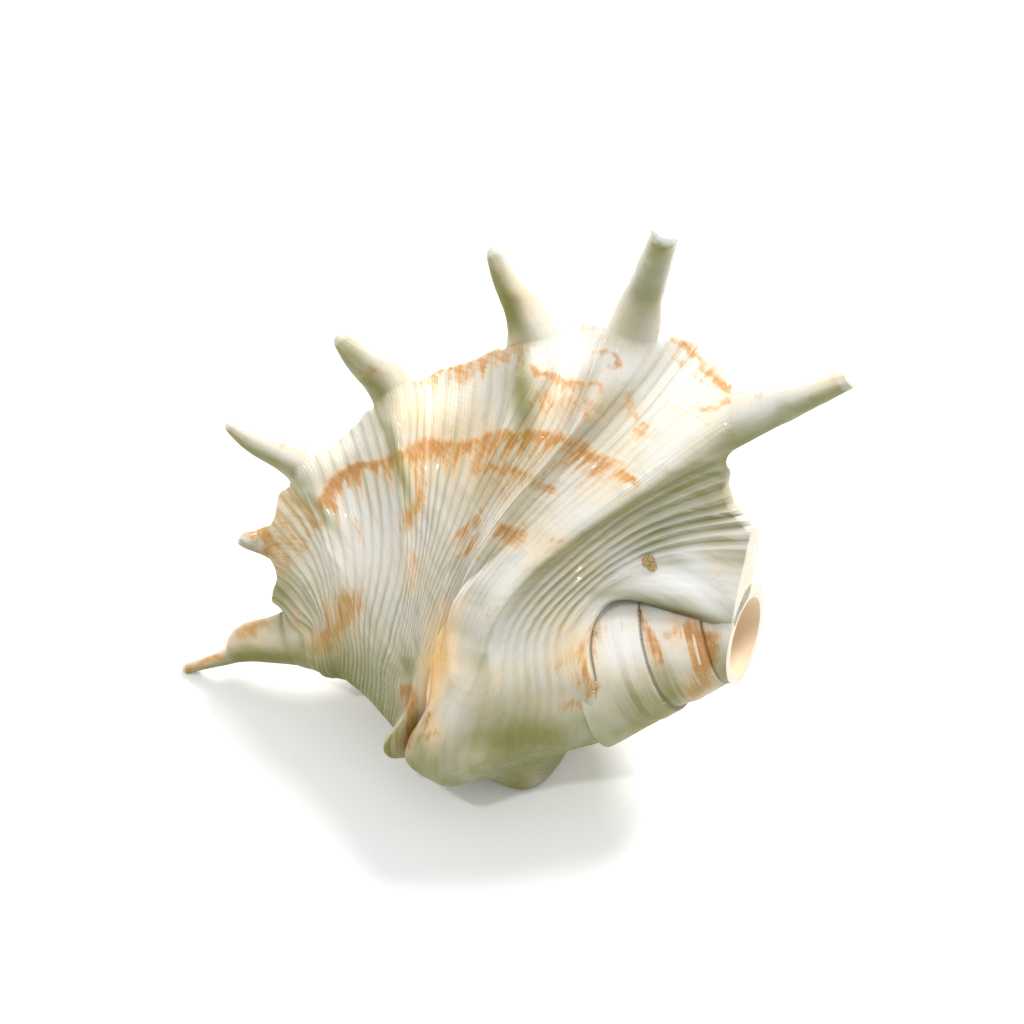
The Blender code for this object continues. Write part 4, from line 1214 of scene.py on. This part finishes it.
# Painted shade with green reflected light
OLIVE_SHADE = (0.15, 0.155, 0.015, 1.0)
ORANGE = (0.62, 0.27, 0.04, 1.0)
BROWN = (0.36, 0.125, 0.012, 1.0)
PEACH = (0.92, 0.60, 0.26, 1.0)
LINING = (0.80, 0.66, 0.46, 1.0)
DEEP_LINING = (0.82, 0.58, 0.36, 1.0)
CHALK = (0.80, 0.81, 0.80, 1.0)
# Painted shade in the suture's line and the furrow, with some real dark colour
CRACK_SHADE = (0.08, 0.065, 0.025, 1.0)
CRUST = (0.48, 0.30, 0.10, 1.0)


def fine_threads(nodes, line, run):
    """One in the fine grooves that run along the cords."""
    wander = nodes.noise(nodes.place(nodes.times(line, 0.7), nodes.times(run, 0.06)), 1.0, 2.0)
    count = nodes.sum(line, nodes.times(wander, 0.35))
    turn = nodes.add("ShaderNodeMath", {0: nodes.times(count, 8.0 * math.pi)}, operation="COSINE")
    return nodes.ramp(turn, 1.0, -1.0)


def shell_material():
    nodes = Nodes("shell")
    line, run = nodes.value("line"), nodes.value("run")
    cords, stain, blush, olive_shade = (nodes.value(name) for name in ("groove", "stain", "blush", "olive_shade"))
    inside, sawn, depth, chalk = (nodes.value(name) for name in ("inside", "sawn", "depth", "chalk"))
    crack, crust, highlight = (nodes.value(name) for name in ("crack", "crust", "highlight"))
    here = nodes.add("ShaderNodeTexCoord", output="Object")
    cloudy = nodes.noise(here, 26.0, 3.0)
    patchy = nodes.noise(here, 80.0, 4.0, 0.6)
    streaks = nodes.noise(nodes.place(nodes.times(line, 2.2), nodes.times(run, 0.1)), 1.0, 4.0, 0.65)
    hairs = nodes.noise(nodes.place(nodes.times(line, 5.0), nodes.times(run, 0.03), 7.0), 1.0, 2.0)
    growth = nodes.noise(nodes.place(nodes.times(line, 0.12), nodes.times(run, 0.5)), 1.0, 4.0, 0.65)
    finer = fine_threads(nodes, line, run)

    colour = nodes.mix(nodes.ramp(cloudy, 0.38, 0.66, 0.0, 0.8), WHITE, CREAM)
    colour = nodes.mix(nodes.ramp(patchy, 0.52, 0.68, 0.0, 0.5), colour, MILKY)
    colour = nodes.mix(nodes.ramp(growth, 0.5, 0.7, 0.0, 0.4), colour, CREAM)
    colour = nodes.mix(nodes.ramp(hairs, 0.56, 0.72, 0.0, 0.3), colour, PEACH)
    colour = nodes.mix(nodes.times(finer, 0.12), colour, CREAM)
    # Painted shade, tinted olive by green reflected light, in the grooves between the cords
    colour = nodes.mix(nodes.times(cords, 0.7), colour, GROOVE_SHADE)
    uneven = nodes.sum(streaks, nodes.times(patchy, 0.5))
    warm = nodes.times(blush, nodes.ramp(uneven, 0.45, 0.9, 0.3, 1.0))
    colour = nodes.mix(warm, colour, PEACH)
    # Painted highlights: brighter white where light falls strongest
    colour = nodes.mix(nodes.times(highlight, 0.85), colour, HIGHLIGHT_WHITE)

    broken = nodes.sum(nodes.times(growth, 1.2), nodes.times(patchy, 1.2))
    broken = nodes.sum(nodes.times(streaks, 2.0), broken)
    level = nodes.sum(stain, nodes.sum(broken, -2.3))
    mark = nodes.ramp(level, 0.0, 1.0)
    tone = nodes.mix(nodes.ramp(level, 0.5, 1.7), ORANGE, BROWN)
    outside = nodes.add("ShaderNodeMath", {0: 1.0, 1: inside}, operation="SUBTRACT")
    colour = nodes.mix(nodes.times(nodes.times(mark, 0.85), outside), colour, tone)
    # Painted shade, tinted olive by green reflected light, on low flanks and the shaded sides of the
    # fingers
    uneven = nodes.sum(cloudy, nodes.times(streaks, 0.4))
    shade_share = nodes.times(olive_shade, nodes.ramp(uneven, 0.4, 0.9, 0.75, 1.0))
    colour = nodes.mix(nodes.times(shade_share, 0.96), colour, OLIVE_SHADE)
    # Painted shade, nearly black, in the suture's line and the furrow, with some real dark colour along
    # the suture
    colour = nodes.mix(nodes.times(crack, 0.8), colour, CRACK_SHADE)

    lining = nodes.mix(nodes.ramp(cloudy, 0.4, 0.65), LINING, WHITE)
    lining = nodes.mix(nodes.times(depth, 0.6), lining, DEEP_LINING)
    colour = nodes.mix(nodes.times(inside, 0.85), colour, lining)

    layers = nodes.noise(nodes.place(nodes.times(depth, 9.0), nodes.times(run, 0.035)), 1.0, 5.0, 0.7)
    cut = nodes.mix(nodes.ramp(layers, 0.42, 0.6), WHITE, CREAM)
    cut = nodes.mix(nodes.ramp(layers, 0.55, 0.7, 0.0, 0.8), cut, PEACH)
    colour = nodes.mix(sawn, colour, cut)
    colour = nodes.mix(chalk, colour, CHALK)
    crumbs = nodes.mix(nodes.ramp(nodes.noise(here, 1600.0), 0.5, 0.7, 0.0, 0.7), CRUST, WHITE)
    colour = nodes.mix(crust, colour, crumbs)
    nodes.put(nodes.surface.inputs["Base Color"], colour)

    rough = nodes.ramp(patchy, 0.35, 0.7, 0.18, 0.34)
    rough = nodes.sum(rough, nodes.times(cords, 0.2))
    dull = nodes.add("ShaderNodeMath", {0: sawn, 1: nodes.sum(chalk, crust)}, operation="MAXIMUM")
    rough = nodes.sum(rough, nodes.times(dull, 0.35))
    rough = nodes.sum(rough, nodes.times(olive_shade, 0.25))
    nodes.put(nodes.surface.inputs["Roughness"], rough)

    fine = nodes.noise(here, 700.0, 3.0)
    lines = nodes.noise(nodes.place(nodes.times(line, 0.3), nodes.times(run, 2.2)), 1.0, 2.0)
    height = nodes.sum(nodes.times(lines, 0.45), nodes.times(hairs, 0.5))
    height = nodes.sum(nodes.times(fine, 0.12), height)
    height = nodes.sum(height, nodes.times(finer, -0.25))
    height = nodes.sum(height, nodes.times(nodes.times(layers, sawn), 1.2))
    height = nodes.sum(height, nodes.times(nodes.times(nodes.noise(here, 900.0, 4.0, 0.7), chalk), 3.0))
    bumps = {"Height": height, "Strength": 0.6, "Distance": 0.0005}
    normal = nodes.add("ShaderNodeBump", bumps, output="Normal")
    nodes.put(nodes.surface.inputs["Normal"], normal)
    nodes.put(nodes.surface.inputs["Coat Weight"], nodes.ramp(olive_shade, 0.0, 1.0, 0.35, 0.0))
    nodes.surface.inputs["Specular IOR Level"].default_value = 0.28
    nodes.surface.inputs["Coat Roughness"].default_value = 0.07
    nodes.surface.inputs["Subsurface Weight"].default_value = 0.12
    nodes.surface.inputs["Subsurface Radius"].default_value = (1.0, 0.75, 0.5)
    nodes.surface.inputs["Subsurface Scale"].default_value = 0.003
    return nodes.material


# Floor, light and camera

def add_floor():
    half = 8.0
    corners = [(-half, -half, 0.0), (half, -half, 0.0), (half, half, 0.0), (-half, half, 0.0)]
    mesh = bpy.data.meshes.new("floor")
    mesh.from_pydata(corners, [], [(0, 1, 2, 3)])
    floor = bpy.data.objects.new("floor", mesh)
    nodes = Nodes("floor")
    nodes.put(nodes.surface.inputs["Base Color"], (0.95, 0.95, 0.948, 1.0))
    nodes.put(nodes.surface.inputs["Roughness"], 0.75)
    mesh.materials.append(nodes.material)
    bpy.context.scene.collection.objects.link(floor)


def add_sun(name, toward, angle, strength, colour):
    data = bpy.data.lights.new(name, "SUN")
    data.angle = math.radians(angle)
    data.energy = strength
    data.color = colour
    light = bpy.data.objects.new(name, data)
    light.rotation_mode = "QUATERNION"
    light.rotation_quaternion = Vector(toward).to_track_quat("Z", "Y")
    bpy.context.scene.collection.objects.link(light)


# Light from all round, from low down and from above, and its strength
LOW_LIGHT = (0.17, 0.185, 0.06, 1.0)
HIGH_LIGHT = (0.97, 0.98, 1.0, 1.0)
SURROUND_STRENGTH = 0.86

# Direct light: the direction that it comes from, its spread in degrees, strength and colour
KEY_LIGHT = ((0.40, 0.55, 0.74), 24.0, 3.65, (1.0, 0.995, 0.975))
SIDE_LIGHT = ((-0.39, -0.18, 0.9), 4.0, 0.7, (1.0, 0.99, 0.97))


def add_surround():
    """Soft light from all round, pale from above and olive from low down."""
    world = bpy.data.worlds.new("surround")
    world.use_nodes = True
    tree = world.node_tree
    background = tree.nodes["Background"]
    direction = tree.nodes.new("ShaderNodeTexCoord").outputs["Generated"]
    parts = tree.nodes.new("ShaderNodeSeparateXYZ")
    tree.links.new(direction, parts.inputs[0])
    low = tree.nodes.new("ShaderNodeMapRange")
    low.interpolation_type = "SMOOTHSTEP"
    low.inputs["From Min"].default_value = 0.0
    low.inputs["From Max"].default_value = 0.6
    tree.links.new(parts.outputs["Z"], low.inputs["Value"])
    mix = tree.nodes.new("ShaderNodeMix")
    mix.data_type = "RGBA"
    mix.inputs[6].default_value = LOW_LIGHT
    mix.inputs[7].default_value = HIGH_LIGHT
    tree.links.new(low.outputs["Result"], mix.inputs["Factor"])
    tree.links.new(mix.outputs[2], background.inputs["Color"])
    background.inputs["Strength"].default_value = SURROUND_STRENGTH
    bpy.context.scene.world = world


def add_lights():
    add_surround()
    add_sun("key", *KEY_LIGHT)
    add_sun("side", *SIDE_LIGHT)


CAMERA_LENS = 85.06
CAMERA_PLACE = (-0.013678, -0.543253, 0.934416)
CAMERA_RIGHT = (0.99971303, -0.02166409, 0.01022327)
CAMERA_UP = (0.01230439, 0.83055406, 0.55680207)


def add_camera():
    data = bpy.data.cameras.new("camera")
    data.sensor_width = 36.0
    data.lens = CAMERA_LENS
    camera = bpy.data.objects.new("camera", data)
    right, up = Vector(CAMERA_RIGHT), Vector(CAMERA_UP)
    turn = Matrix([right, up, right.cross(up)]).transposed().to_4x4()
    camera.matrix_world = Matrix.Translation(CAMERA_PLACE) @ turn
    bpy.context.scene.collection.objects.link(camera)
    bpy.context.scene.camera = camera


draft = Draft()
draw_whorl(draft)
draw_spire(draft)
draw_crusts(draft)
make_pieces(draft, shell_material())
add_floor()
add_lights()
add_camera()
bpy.context.scene.view_settings.view_transform = "Standard"
